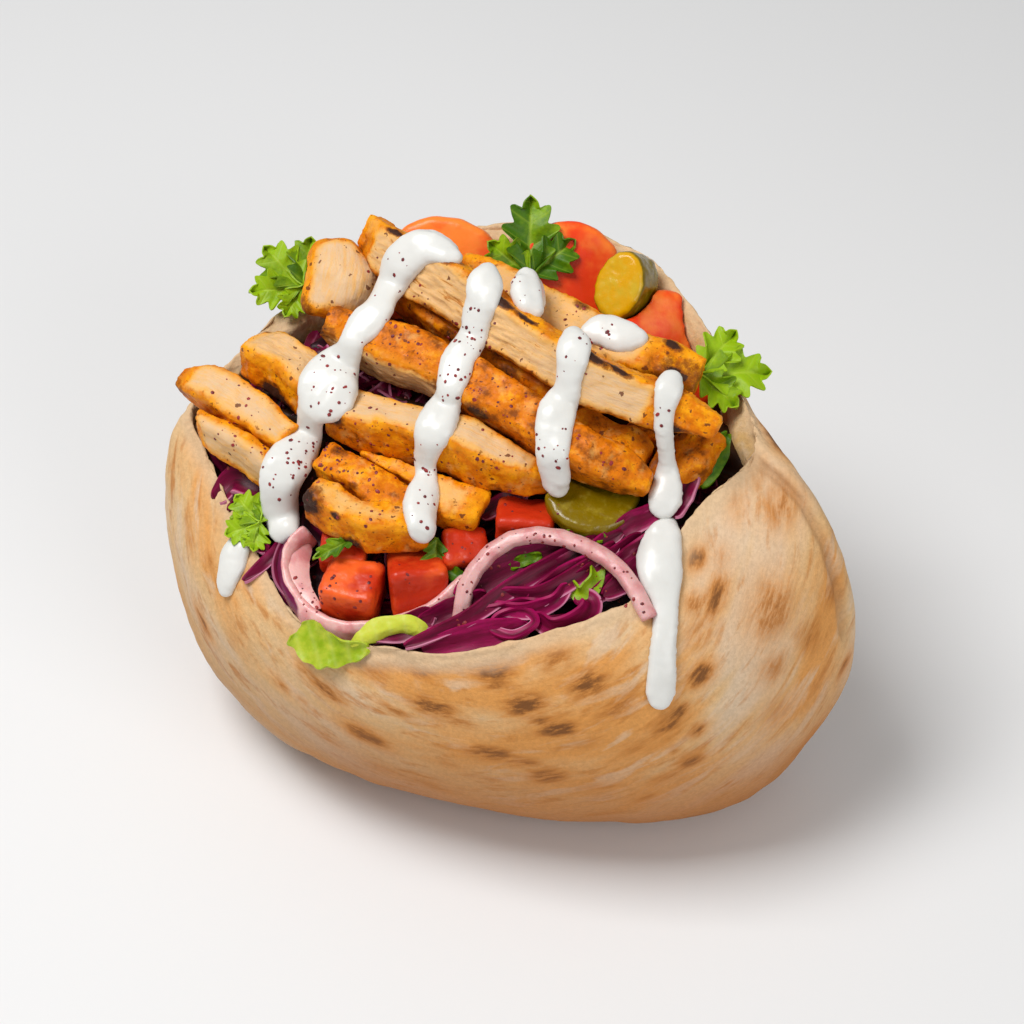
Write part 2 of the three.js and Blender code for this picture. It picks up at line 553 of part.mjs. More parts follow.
// A trail laid over everything placed so far: it follows what lies under it and sags only a
// little into the gaps.
function sauceTrail(points) {
  const line = new THREE.CatmullRomCurve3(points.map(([x, y]) => new THREE.Vector3(x, y, 0)), false, "centripetal");
  const stations = max(5, Math.round(line.getLength() / 6.4));
  const ray = new THREE.Raycaster();
  const spot = (across, up) => ACROSS.clone().multiplyScalar(across).addScaledVector(RISE, up);
  const groundAt = (across, up) => {
    ray.set(spot(across, up).addScaledVector(POUR, 400), POUR.clone().negate());
    const [hit] = ray.intersectObject(sandwich);
    return hit ? hit.point.dot(POUR) : null;
  };
  const rows = Array.from({ length: stations }, (_, k) => {
    const even = k / (stations - 1);
    const u = 0.5 - 0.5 * (0.3 * cos(even * PI) + 0.7 * (1 - 2 * even));
    const point = line.getPointAt(u);
    const along = line.getTangentAt(u);
    const t = line.getUtoTmapping(u) * (points.length - 1);
    const [low, high] = [points[floor(t)], points[min(points.length - 1, floor(t) + 1)]];
    const end = min(1, sqrt((min(u, 1 - u) * line.getLength()) / 3.5 + 0.3));
    const half = (low[2] + (high[2] - low[2]) * (t % 1)) * end;
    const side = new THREE.Vector2(along.y, -along.x);
    // The highest ground near each spot, so that no edge between two stations cuts the trail.
    const depths = [-1, -0.5, 0, 0.5, 1].map((v) => {
      const [across, up] = [point.x + side.x * half * v, point.y + side.y * half * v];
      const hits = [-2.3, 0, 2.3].map((step) => groundAt(across + along.x * step, up + along.y * step));
      const found = hits.filter((hit) => hit !== null);
      return found.length ? max(...found) : null;
    });
    return { point, side, half, end, depths };
  });
  // Fill what the rays missed, then lift the valleys and even out the steps.
  const known = rows.flatMap((row) => row.depths).filter((depth) => depth !== null);
  const fallback = known.reduce((sum, depth) => sum + depth, 0) / known.length;
  for (const row of rows) {
    row.depths = row.depths.map((depth) => depth ?? fallback);
    row.ground = [...row.depths];
  }
  for (let pass = 0; pass < 4; pass++) {
    const before = rows.map((row) => [...row.depths]);
    rows.forEach((row, k) => {
      row.depths = row.depths.map((depth, n) => {
        const [a, b] = [before[max(0, k - 1)][n], before[min(stations - 1, k + 1)][n]];
        const sideways = (before[k][max(0, n - 1)] + before[k][min(4, n + 1)]) / 2;
        return max(depth, (a + b) / 2 - 0.8, sideways - 0.4);
      });
    });
  }
  return loft(
    rows.map(({ point, side, half, end, depths, ground }) =>
      Array.from({ length: 6 }, (_, n) => {
        const turn = (n / 6) * 2 * PI;
        const [v, w] = [-cos(turn), sin(turn)];
        const depth = depths[Math.round((v + 1) * 2)];
        const under = max(ground[Math.round((v + 1) * 2)] + 0.3, depth - 2.5) - 0.4 * (1 + w);
        const height = w > 0.01 ? depth + SAUCE_THICKNESS * end * w : min(depth, under);
        return spot(point.x + side.x * half * v, point.y + side.y * half * v).addScaledVector(POUR, height);
      })
    )
  );
}

const numbered = (name, k) => `${name}_${String(k + 1).padStart(2, "0")}`;

add("pita_bread", pitaBread(), "bread");
STRIPS.forEach((strip, k) => add(numbered("chicken_strip", k), chickenStrip(strip, k + 1), "chicken", 0.6));
add("pickle_slice_back", disc(PICKLES[0]), "pickle");
add("pickle_slice_front", disc(PICKLES[1]), "pickle", 0.6);
TOMATO_CUBES.forEach((cube, k) => add(numbered("tomato_cube", k), tomatoCube(cube), "tomato", 0.6));
TOMATO_SLICES.forEach((slice, k) => add(numbered("tomato_slice", k), disc(slice), "tomato", 0.6));
add("onion_arch", onionArch(), "onion");
add("onion_ring", onionRing(), "onion");
LETTUCES.forEach((piece, k) => add(numbered("lettuce_leaf", k), lettuce(piece), "lettuce", 0.6));
HERBS.forEach((herb, k) => add(numbered("herb_leaf", k), herbLeaf(herb), "herb", 0.6));
add("salad_heap", joined(saladCore(), ...SHREDS.map(shred)), "salad", 1.3);
for (const [name, points] of Object.entries(TRAILS)) add(name, sauceTrail(points), "sauce");

export default sandwich;
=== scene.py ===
# Doner kebab pita sandwich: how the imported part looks. An opened pita stands on its base, filled
# with shredded salad and topped with grilled chicken strips, herb leaves and yoghurt sauce.
# Metres, +Z up. The sandwich's front, the low side of its mouth, is -Y and its right is +X.

import math
import random

import bpy
import numpy as np
from mathutils import Matrix, Vector
from mathutils.kdtree import KDTree


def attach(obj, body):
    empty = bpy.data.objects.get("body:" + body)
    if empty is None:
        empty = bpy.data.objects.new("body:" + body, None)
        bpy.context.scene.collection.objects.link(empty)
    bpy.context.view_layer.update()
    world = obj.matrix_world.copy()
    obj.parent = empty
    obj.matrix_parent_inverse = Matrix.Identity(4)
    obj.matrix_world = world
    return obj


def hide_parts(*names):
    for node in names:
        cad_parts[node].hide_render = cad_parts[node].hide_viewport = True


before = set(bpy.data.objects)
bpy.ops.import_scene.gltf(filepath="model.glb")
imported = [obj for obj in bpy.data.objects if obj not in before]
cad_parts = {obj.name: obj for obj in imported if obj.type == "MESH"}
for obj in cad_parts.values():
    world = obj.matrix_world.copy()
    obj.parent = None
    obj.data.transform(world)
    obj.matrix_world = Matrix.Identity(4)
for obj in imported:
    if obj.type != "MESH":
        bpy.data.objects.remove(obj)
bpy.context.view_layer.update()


# ---------------------------------------------------------------- table, light and view
# A pale matt table top in a white studio. One large soft lamp hangs over the left, a second one
# fills in from the front right, and the room gives the rest.

scene = bpy.context.scene
scene.view_settings.view_transform = "Standard"


def put(tree, kind, inputs=(), **settings):
    """Adds a shader node, sets its properties and fills its inputs with values or links."""
    made = tree.nodes.new("ShaderNode" + kind)
    for name, value in settings.items():
        setattr(made, name, value)
    for name, value in dict(inputs).items():
        socket = made.inputs[name]
        if isinstance(value, bpy.types.NodeSocket):
            tree.links.new(value, socket)
        elif socket.type == "RGBA" and len(value) == 3:
            socket.default_value = (*value, 1)
        else:
            socket.default_value = value
    return made


def new_finish(name, **values):
    """A new material with its node tree and its shader, whose even values are set here."""
    material = bpy.data.materials.new(name)
    material.use_nodes = True
    shader = material.node_tree.nodes["Principled BSDF"]
    for socket, value in values.items():
        shader.inputs[socket.replace("_", " ")].default_value = value
    return material, material.node_tree, shader


TABLE_WHITE = (0.8, 0.8, 0.8, 1)
ROOM_WHITE = (1, 1, 1, 1)
ROOM_BRIGHTNESS = 0.3
bpy.ops.mesh.primitive_plane_add(size=4)
table = bpy.context.object
table.name = "table_top"
table_finish, _, _ = new_finish("table_matt", Base_Color=TABLE_WHITE, Roughness=0.9)
table.data.materials.append(table_finish)

room = bpy.data.worlds.new("studio")
scene.world = room
room.use_nodes = True
air = room.node_tree.nodes["Background"]
air.inputs["Color"].default_value = ROOM_WHITE
air.inputs["Strength"].default_value = ROOM_BRIGHTNESS


def lamp(name, place, aim, size, watts):
    """A square soft lamp at a place, turned to what it lights."""
    bpy.ops.object.light_add(type="AREA", location=place)
    made = bpy.context.object
    made.name = name
    made.data.size = size
    made.data.energy = watts
    made.rotation_euler = (Vector(aim) - Vector(place)).to_track_quat("-Z", "Y").to_euler()


lamp("lamp_over", place=(-0.35, -0.1, 0.85), aim=(0, 0, 0.08), size=0.4, watts=6.5)
lamp("lamp_front", place=(0.75, -0.6, 0.55), aim=(0, 0, 0.06), size=0.6, watts=3.5)

VIEW_TURN = math.radians(11.5)
VIEW_RISE = math.radians(45)
VIEW_DISTANCE = 0.7
VIEW_LENS = 100
VIEW_TARGET = Vector((0.0005, 0.005, 0.068))
toward_viewer = Vector(
    (
        math.sin(VIEW_TURN) * math.cos(VIEW_RISE),
        -math.cos(VIEW_TURN) * math.cos(VIEW_RISE),
        math.sin(VIEW_RISE),
    )
)
bpy.ops.object.camera_add(location=VIEW_TARGET + toward_viewer * VIEW_DISTANCE)
camera = bpy.context.object
camera.rotation_euler = (-toward_viewer).to_track_quat("-Z", "Y").to_euler()
camera.data.lens = VIEW_LENS
scene.camera = camera


# ---------------------------------------------------------------- pita bread
# A flatbread baked hollow and torn open to a pocket: a floury cream skin with golden patches and
# brown toasted spots drawn out along the wall, and a paler, rougher crumb inside and on the rim.

# The sandwich's sizes and places are given in millimetres, the studio's in metres.
MM = 0.001
WELD = 0.02


def take(*pieces):
    """Makes these the only selected pieces and the first one active, ready for an operator."""
    bpy.ops.object.select_all(action="DESELECT")
    for piece in pieces:
        piece.select_set(True)
    bpy.context.view_layer.objects.active = pieces[0]


def edit_all(piece, operator, **settings):
    """Runs an edit-mode operator on the whole of a piece."""
    take(piece)
    bpy.ops.object.mode_set(mode="EDIT")
    bpy.ops.mesh.select_all(action="SELECT")
    operator(**settings)
    bpy.ops.object.mode_set(mode="OBJECT")


def from_solid(node, name):
    """A copy of a CAD solid with its loose triangles joined up, to be shaped further."""
    piece = bpy.data.objects.new(name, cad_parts[node].data.copy())
    scene.collection.objects.link(piece)
    piece.data.materials.clear()
    edit_all(piece, bpy.ops.mesh.remove_doubles, threshold=WELD * MM)
    edit_all(piece, bpy.ops.mesh.customdata_custom_splitnormals_clear)
    return piece


def shape(piece, kind, **settings):
    """Shapes a piece with a modifier, which is applied."""
    take(piece)
    modifier = piece.modifiers.new("shape", kind)
    for name, value in settings.items():
        setattr(modifier, name, value)
    bpy.ops.object.modifier_apply(modifier=modifier.name)


def points_of(piece):
    """A piece's points in millimetres and the way each faces."""
    points = np.empty(len(piece.data.vertices) * 3, np.float32)
    facing = np.empty(len(piece.data.vertices) * 3, np.float32)
    piece.data.vertices.foreach_get("co", points)
    piece.data.vertex_normals.foreach_get("vector", facing)
    return points.reshape(-1, 3) / MM, facing.reshape(-1, 3)


def move_points(piece, points):
    """Puts a piece's points at new places, in millimetres."""
    piece.data.vertices.foreach_set("co", (points * MM).astype(np.float32).ravel())
    piece.data.update()


def fade(low, high, values):
    """0 below low, 1 above high, and a smooth step between."""
    share = np.clip((values - low) / (high - low), 0, 1)
    return share * share * (3 - 2 * share)


def paint(piece, name, values):
    """Stores one number, or three, for each point of a piece, for its material."""
    values = np.asarray(values, np.float32)
    kind, key = ("FLOAT", "value") if values.ndim == 1 else ("FLOAT_VECTOR", "vector")
    layer = piece.data.attributes.new(name, kind, "POINT")
    layer.data.foreach_set(key, values.ravel())


def weigh(piece, name, values):
    """Stores how far a modifier works on each point."""
    group = piece.vertex_groups.new(name=name)
    for index, value in enumerate(np.asarray(values, float)):
        group.add([index], value, "REPLACE")


def relief(piece, size, height, group="", along=None, noise="SOFT_NOISE", depth=2):
    """Pushes a piece's surface in and out by noise of a size, within a group of points. along is
    an empty whose own axes stretch the noise."""
    texture = bpy.data.textures.new("relief", "CLOUDS")
    texture.noise_scale = 1 if along else size * MM
    texture.noise_type = noise
    texture.noise_depth = depth
    place = {"texture_coords": "LOCAL"}
    if along:
        place = {"texture_coords": "OBJECT", "texture_coords_object": along}
    strength = height * MM
    shape(piece, "DISPLACE", texture=texture, strength=strength, mid_level=0.5, vertex_group=group, **place)


def shade_soft(piece):
    """Shades a whole piece smoothly."""
    take(piece)
    bpy.ops.object.shade_smooth()


def show(piece, node, material):
    """Lets a finished piece stand for its CAD solid."""
    piece.data.materials.clear()
    piece.data.materials.append(material)
    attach(piece, "root")
    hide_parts(node)


# The middle of the pocket, a point of the mouth's plane, and how that rises to the right and back.
POCKET_MIDDLE = np.array([0, 8, 62])
MOUTH = np.array([-12, 10, 88])
MOUTH_RISE = np.array([0.08, 0.317])

# POUR points back up the way the sauce is poured, to the front and up. ACROSS and RISE span the
# plane square to it, in which the places on top of the sandwich are measured.
POUR = Vector((0.141, -0.693, 0.707)).normalized()
ACROSS = Vector((0, 0, 1)).cross(POUR).normalized()
RISE = POUR.cross(ACROSS)


def mouth_height(x, y):
    """The height of the mouth's plane over a spot, in millimetres."""
    return MOUTH[2] + MOUTH_RISE[0] * (x - MOUTH[0]) + MOUTH_RISE[1] * (y - MOUTH[1])


# Toasted spots: place, half length along the skin's pattern, half width, and how dark.
TOASTED = [
    (-12, -48, 65, 3.2, 1.0, 0.7), (7, -48, 69, 3.4, 1.4, 0.75), (8, -50, 66, 2.7, 0.9, 0.5),
    (-7, -52, 57, 3.4, 1.4, 0.75), (-1, -53, 54, 3.4, 0.9, 0.4), (-16, -51, 53, 3.2, 0.7, 0.4),
    (-24, -51, 42, 3.4, 1.1, 0.95), (-71, -28, 47, 2.7, 1.0, 0.7), (-47, -44, 47, 2.0, 0.9, 0.45),
    (-40, -45, 55, 2.5, 0.7, 0.5), (-34, -47, 52, 3.4, 1.0, 0.55), (-22, -48, 61, 3.9, 0.9, 0.35),
    (-41, -46, 45, 1.7, 0.7, 0.25), (-69, -23, 65, 3.7, 0.7, 0.35), (-61, -36, 51, 3.7, 0.6, 0.3),
    (15, -51, 62, 3.2, 1.6, 0.8), (19, -52, 58, 2.0, 0.9, 0.55), (23, -52, 56, 3.0, 1.1, 0.95),
    (29, -47, 68, 3.2, 1.8, 0.7), (21, -45, 73, 3.4, 2.0, 0.4), (7, -54, 46, 3.4, 1.2, 0.85),
    (15, -54, 44, 3.4, 1.0, 0.5), (21, -53, 40, 3.0, 1.4, 0.75), (-3, -54, 39, 2.2, 1.0, 0.3),
    (54, -38, 67, 2.2, 1.1, 0.95), (48, -45, 56, 3.2, 1.1, 0.6), (51, -44, 59, 2.0, 1.1, 0.75),
    (55, -43, 53, 1.5, 1.0, 0.6), (50, -46, 48, 1.0, 0.9, 0.4), (54, -44, 43, 2.2, 1.1, 0.65),
    (49, -47, 38, 3.4, 1.0, 0.45), (44, -47, 30, 2.2, 1.0, 0.4), (36, -48, 62, 4.9, 1.5, 0.4),
    (51, -27, 79, 2.2, 1.5, 0.45), (55, -24, 79, 3.4, 1.2, 0.65), (53, -32, 75, 4.2, 2.2, 0.3),
    (49, -17, 84, 2.0, 1.1, 0.75), (68, -20, 74, 5.4, 3.4, 0.4), (67, -1, 90, 4.4, 2.4, 0.36),
    (59, 5, 95, 3.4, 1.6, 0.36), (56, -2, 90, 3.7, 1.5, 0.3), (78, -18, 64, 4.2, 2.4, 0.36),
    (86, -9, 46, 2.5, 1.2, 0.5), (79, -19, 26, 4.2, 2.0, 0.35), (81, -9, 70, 3.2, 2.0, 0.35),
    (71, -28, 62, 3.4, 2.5, 0.3), (73, -31, 50, 4.2, 3.0, 0.25), (55, -16, 84, 3.0, 1.5, 0.25),
    (42, -49, 51, 4.9, 1.7, 0.3), (30, -52, 52, 4.9, 1.5, 0.25), (33, -51, 36, 4.9, 1.5, 0.25),
    (-8, -51, 27, 4.9, 1.2, 0.3), (-20, -50, 29, 3.7, 1.2, 0.25), (-34, -48, 35, 3.7, 1.0, 0.25),
    (-58, -24, 68, 3.7, 0.6, 0.3), (-76, -16, 64, 3.7, 0.7, 0.3),
]
SPOT_SPREAD = 1.25

# Behind this y, the spots are scattered by chance and run level with the mouth.
BEHIND = 14
BACK_SPOTS = 46

pita = from_solid("pita_bread", "pita")
edit_all(pita, bpy.ops.mesh.tris_convert_to_quads)
shape(pita, "SUBSURF", levels=3, render_levels=3)

points, facing = points_of(pita)
outward = points - POCKET_MIDDLE
outward /= np.linalg.norm(outward, axis=1)[:, None]
outside = (facing * outward).sum(1) > 0
outside |= points[:, 2] < 0.5


def distance_between(points, chosen):
    """For each point, how far the nearest point of the other kind is."""
    trees = {}
    for kind in (True, False):
        members = points[chosen == kind]
        trees[kind] = KDTree(len(members))
        for index, member in enumerate(members):
            trees[kind].insert(member, index)
        trees[kind].balance()
    return np.array([trees[not kind].find(point)[2] for point, kind in zip(points, chosen)])


from_rim = distance_between(points, outside)
rim = 1 - fade(1.2, 4.4, from_rim)
inner = np.where(outside, 0.0, 1.0)
below_mouth = mouth_height(points[:, 0], points[:, 1]) - points[:, 2]

# In front the skin's pattern is drawn out in rings round a point of the pour plane.
FLOW_RADIUS = 19
FLOW_MIDDLE = (-8, 58)
aside = points @ np.array(ACROSS) - FLOW_MIDDLE[0]
above = points @ np.array(RISE) - FLOW_MIDDLE[1]
around = np.arctan2(above, aside)
outer = 1.2 * (np.hypot(aside, above) - 0.3 * points @ np.array(POUR))
flow = np.stack([np.cos(around) * FLOW_RADIUS, np.sin(around) * FLOW_RADIUS, outer], 1)

dice = random.Random(7)
spots = list(TOASTED)
behind = np.where(outside & (points[:, 1] > BEHIND) & (points[:, 2] > 8) & (rim < 0.1))[0]
for _ in range(BACK_SPOTS):
    x, y, z = points[behind[dice.randrange(len(behind))]]
    spots.append((x, y, z, dice.uniform(2, 5), dice.uniform(0.8, 2.4), dice.uniform(0.25, 0.85)))

toast = np.zeros(len(points))
gold = np.zeros(len(points))
mouth_up = np.array([-MOUTH_RISE[0], -MOUTH_RISE[1], 1])
for x, y, z, half_length, half_width, dark in spots:
    away = points - (x, y, z)
    spot_facing = facing[np.argmin((away**2).sum(1) + 1000 * ~outside)]
    stretch = np.cross(mouth_up, spot_facing)
    if y < BEHIND:
        spot = Vector((x, y, z))
        ring = RISE * (spot.dot(ACROSS) - FLOW_MIDDLE[0]) - ACROSS * (spot.dot(RISE) - FLOW_MIDDLE[1])
        stretch = np.array(ring) - spot_facing * (np.array(ring) @ spot_facing)
    stretch /= np.linalg.norm(stretch)
    lengthways = away @ stretch
    sideways = np.sqrt(np.maximum((away**2).sum(1) - lengthways**2, 0))
    reach = (lengthways / half_length) ** 2 + (sideways / half_width / SPOT_SPREAD) ** 2
    toast = np.maximum(toast, dark * np.exp(-reach / 2.4) * outside)
    gold = np.maximum(gold, (0.35 + 0.65 * dark) * np.exp(-reach / 12) * outside)

# Where the skin is more golden (above 0) or paler (below 0): place, radius, how much.
TONES = [
    (22, -50, 60, 30, 0.5), (45, -46, 52, 18, 0.4), (-15, -50, 62, 22, 0.25), (78, -12, 80, 14, 0.6),
    (82, -16, 40, 16, 0.5), (-70, -22, 60, 22, 0.15), (62, -8, 92, 22, -0.8), (68, -28, 62, 16, -0.5),
    (70, -30, 38, 14, -0.4), (88, 0, 55, 16, -0.5), (74, -22, 48, 9, 0.7), (80, -12, 60, 10, 0.6),
    (-40, -46, 40, 16, -0.25),
]
tone = np.zeros(len(points))
for x, y, z, radius, change in TONES:
    tone += change * np.exp(-((points - (x, y, z)) ** 2).sum(1) / radius**2)
tone *= outside

# The torn edge shows its crumb along the front of the mouth, painted browner there as in the salad's shade,
# and at the right the front wall laps over the back one in a fold, pressed in and painted with a line of
# shadow.
CRUMB_BAND = [(-29, -46, 64), (-12, -46, 66), (8, -45, 70), (26, -35, 76), (34, -27, 80)]
FOLD = [(57, 65), (64, 60), (70, 54), (76, 44), (80, 32), (82, 22)]
FOLD_DEPTH = 1.3
FOLD_HALF_WIDTH = 1.1
FOLD_SHADE_HALF_WIDTH = 1.3
FAR_OFF = 99.0


def places_along(corners, count):
    """A number of places spread along straight runs from corner to corner."""
    shares = np.linspace(0, 1, count)
    spread = np.linspace(0, 1, len(corners))
    return np.stack([np.interp(shares, spread, column) for column in np.array(corners).T], 1)


band = np.zeros(len(points))
for place in places_along(CRUMB_BAND, 24):
    band = np.maximum(band, 1 - fade(1.5, 4.5, np.sqrt(((points - place) ** 2).sum(1))))
fold = np.full(len(points), FAR_OFF)
turned_down = (facing @ np.array(POUR) < 0) | ~outside
for x, y in places_along(FOLD, 60):
    off_fold = np.hypot(points @ np.array(ACROSS) - x, points @ np.array(RISE) - y)
    fold = np.minimum(fold, off_fold + FAR_OFF * turned_down)
points = points - facing * (FOLD_DEPTH * np.exp(-((fold / FOLD_HALF_WIDTH) ** 2)))[:, None]

# A stretch of the front rim stands up a little, and the right corner's inside bulges.
RAISED = (0, 1.2, 2.4)
RAISED_AT = -21
RAISED_HALF = 9
CORNER = (56, 12, 85)
CORNER_RADIUS = 15
CORNER_BULGE = 8
raised = np.exp(-(((points[:, 0] - RAISED_AT) / RAISED_HALF) ** 2))
raised *= fade(9, 2, below_mouth) * (points[:, 1] < -20)
points += np.array(RAISED) * raised[:, None]
corner = np.exp(-((points - CORNER) ** 2).sum(1) / CORNER_RADIUS**2) * ~outside * fade(0, 7, from_rim)
points += facing * (CORNER_BULGE * corner)[:, None]
move_points(pita, points)

# Painted shadow along the fold's crease.
paint(pita, "fold", np.exp(-((fold / FOLD_SHADE_HALF_WIDTH) ** 2)))
# Partly painted shade: the crumb band along the front rim is browner than the crumb elsewhere.
paint(pita, "band", band)
paint(pita, "tone", tone)
paint(pita, "gold", gold)
# Browner towards the base, less so at the left: partly the skin's colour, partly painted shade on the belly
# that turns down from the light.
paint(pita, "low", (1 - fade(12, 62, points[:, 2])) * (1 - 0.5 * fade(-20, -60, points[:, 0])))
paint(pita, "rim", rim)
paint(pita, "inner", inner)
paint(pita, "toast", toast)
paint(pita, "flow", flow * MM)
turned_away = 1 - fade(0, 0.35, facing @ np.array(POUR))
paint(pita, "behind", np.maximum(fade(2, 20, points[:, 1]), turned_away))
weigh(pita, "rim", rim)
relief(pita, 26, 2.2)
relief(pita, 7, 0.5)
relief(pita, 3.2, 1.5, group="rim")
points, _ = points_of(pita)
points[:, 2] = np.maximum(points[:, 2], 0)
move_points(pita, points)
shade_soft(pita)


def attribute(tree, name, output="Fac"):
    """What paint stored on the piece: a number, or a place with output Vector."""
    return put(tree, "Attribute", attribute_name=name).outputs[output]


def grain(tree, size, detail=3, roughness=0.55, distortion=0.0, place=None):
    """Noise about 0.5, with features of a size in millimetres, fixed to the piece or to a place
    painted on it."""
    if place is None:
        place = put(tree, "TexCoord").outputs["Object"]
    values = {"Vector": place, "Scale": 1 / (size * MM), "Detail": detail, "Roughness": roughness}
    values["Distortion"] = distortion
    return put(tree, "TexNoise", values).outputs[0]


def step(tree, value, low, high, to_low=0.0, to_high=1.0):
    """A smooth step from low to high."""
    values = {"Value": value, "From Min": low, "From Max": high, "To Min": to_low, "To Max": to_high}
    return put(tree, "MapRange", values, interpolation_type="SMOOTHSTEP").outputs[0]


def mix(tree, share, first, second, blend="MIX"):
    """The first colour with a share of the second in it."""
    made = put(tree, "Mix", {0: share, 6: first, 7: second}, data_type="RGBA", blend_type=blend)
    return made.outputs[2]


def laid_over(tree, colour, *layers):
    """A colour with others laid over it in turn. Each is a colour and how much of it shows: a share,
    or a value and the limits of its step."""
    for layer, value, *limits in layers:
        share = step(tree, value, *limits) if limits else value
        colour = mix(tree, share, colour, layer)
    return colour


def calc(tree, operation, first, second):
    """A sum on two values or sockets."""
    return put(tree, "Math", {0: first, 1: second}, operation=operation).outputs[0]


def plus(tree, first, second):
    return calc(tree, "ADD", first, second)


def times(tree, first, second):
    return calc(tree, "MULTIPLY", first, second)


def connect(tree, shader, colour, height=None, distance=0.2, strength=1.0):
    """Connects a colour and a fine relief, its depth in millimetres, to the shader."""
    tree.links.new(colour, shader.inputs["Base Color"])
    if height:
        values = {"Height": height, "Distance": distance * MM, "Strength": strength}
        tree.links.new(put(tree, "Bump", values).outputs[0], shader.inputs["Normal"])


SKIN_TAN = (0.72, 0.46, 0.22)
SKIN_GOLD = (0.72, 0.31, 0.07)
SKIN_PALE = (0.71, 0.535, 0.365)
TOASTED_LIGHT = (0.5, 0.18, 0.03)
TOASTED_DARK = (0.17, 0.06, 0.013)
CRUMB = (0.82, 0.6, 0.35)
CRUMB_GOLD = (0.72, 0.45, 0.15)
CRUMB_AT_RIM = (0.7, 0.49, 0.29)
CRUMB_BROWN = (0.52, 0.33, 0.2)
BASE_BROWN = (0.42, 0.145, 0.025)
FOLD_BROWN = (0.4, 0.2, 0.08)

pita_finish, tree, shader = new_finish("pita_baked", Roughness=0.72, Specular_IOR_Level=0.3)


def baked(tree, size, *details):
    """Noise drawn out round the mouth in front, and in plain patches behind."""
    in_front = grain(tree, size, *details, place=attribute(tree, "flow", "Vector"))
    behind = grain(tree, 1.3 * size, *details)
    return put(tree, "Mix", {0: attribute(tree, "behind"), 2: in_front, 3: behind}).outputs[0]


broad = plus(tree, baked(tree, 15, 4), times(tree, attribute(tree, "tone"), 0.3))
marks = plus(tree, baked(tree, 4.4, 3, 0.6), times(tree, attribute(tree, "tone"), 0.1))
ragged = baked(tree, 1.6, 4, 0.65)
flour = grain(tree, 1.1, 4, 0.7)
crisp = times(tree, step(tree, flour, 0.3, 0.66, 0.84, 1.16), step(tree, ragged, 0.3, 0.64, 0.5, 1.4))
toasted = times(tree, attribute(tree, "toast"), crisp)
crumb = laid_over(tree, CRUMB_GOLD, (CRUMB, grain(tree, 6, 4), 0.4, 0.65))
skin = laid_over(
    tree,
    SKIN_PALE,
    (SKIN_TAN, broad, 0.3, 0.56),
    (SKIN_GOLD, broad, 0.5, 0.74, 0, 0.9),
    (TOASTED_LIGHT, baked(tree, 3, 5, 0.62), 0.52, 0.68, 0, 0.6),
    (TOASTED_LIGHT, marks, 0.57, 0.72, 0, 0.8),
    (SKIN_PALE, baked(tree, 6, 4, 0.6, 0.4), 0.52, 0.66, 0, 0.7),
    (SKIN_GOLD, attribute(tree, "gold"), 0.1, 0.9, 0, 0.75),
    (TOASTED_LIGHT, toasted, 0.05, 0.5, 0, 0.85),
    (TOASTED_DARK, toasted, 0.3, 0.85, 0, 0.9),
    (BASE_BROWN, times(tree, attribute(tree, "low"), 0.88)),
    (CRUMB_BROWN, times(tree, attribute(tree, "band"), step(tree, ragged, 0.3, 0.6, 0.6, 1))),
    (FOLD_BROWN, times(tree, attribute(tree, "fold"), 0.5)),
    (crumb, attribute(tree, "inner")),
    (CRUMB_AT_RIM, times(tree, attribute(tree, "rim"), 0.8)),
)
shade = step(tree, flour, 0.3, 0.7, 0.9, 1.06)
floury = put(tree, "CombineColor", {0: shade, 1: shade, 2: shade}).outputs[0]
skin = mix(tree, 1.0, skin, floury, "MULTIPLY")
pores = plus(tree, flour, times(tree, ragged, 0.8))
connect(tree, shader, skin, pores, 0.35, 0.7)
show(pita, "pita_bread", pita_finish)


# ---------------------------------------------------------------- chicken strips
# Breast fillets grilled whole, then sliced into square-cut strips: each has golden to brown seared
# sides with charred spots, and a pale cut face whose fibres run along it and open in splits.

STRIP_MESH = 0.5
FIBRE_LENGTH = 8
FIBRE_WIDTH = 1.3
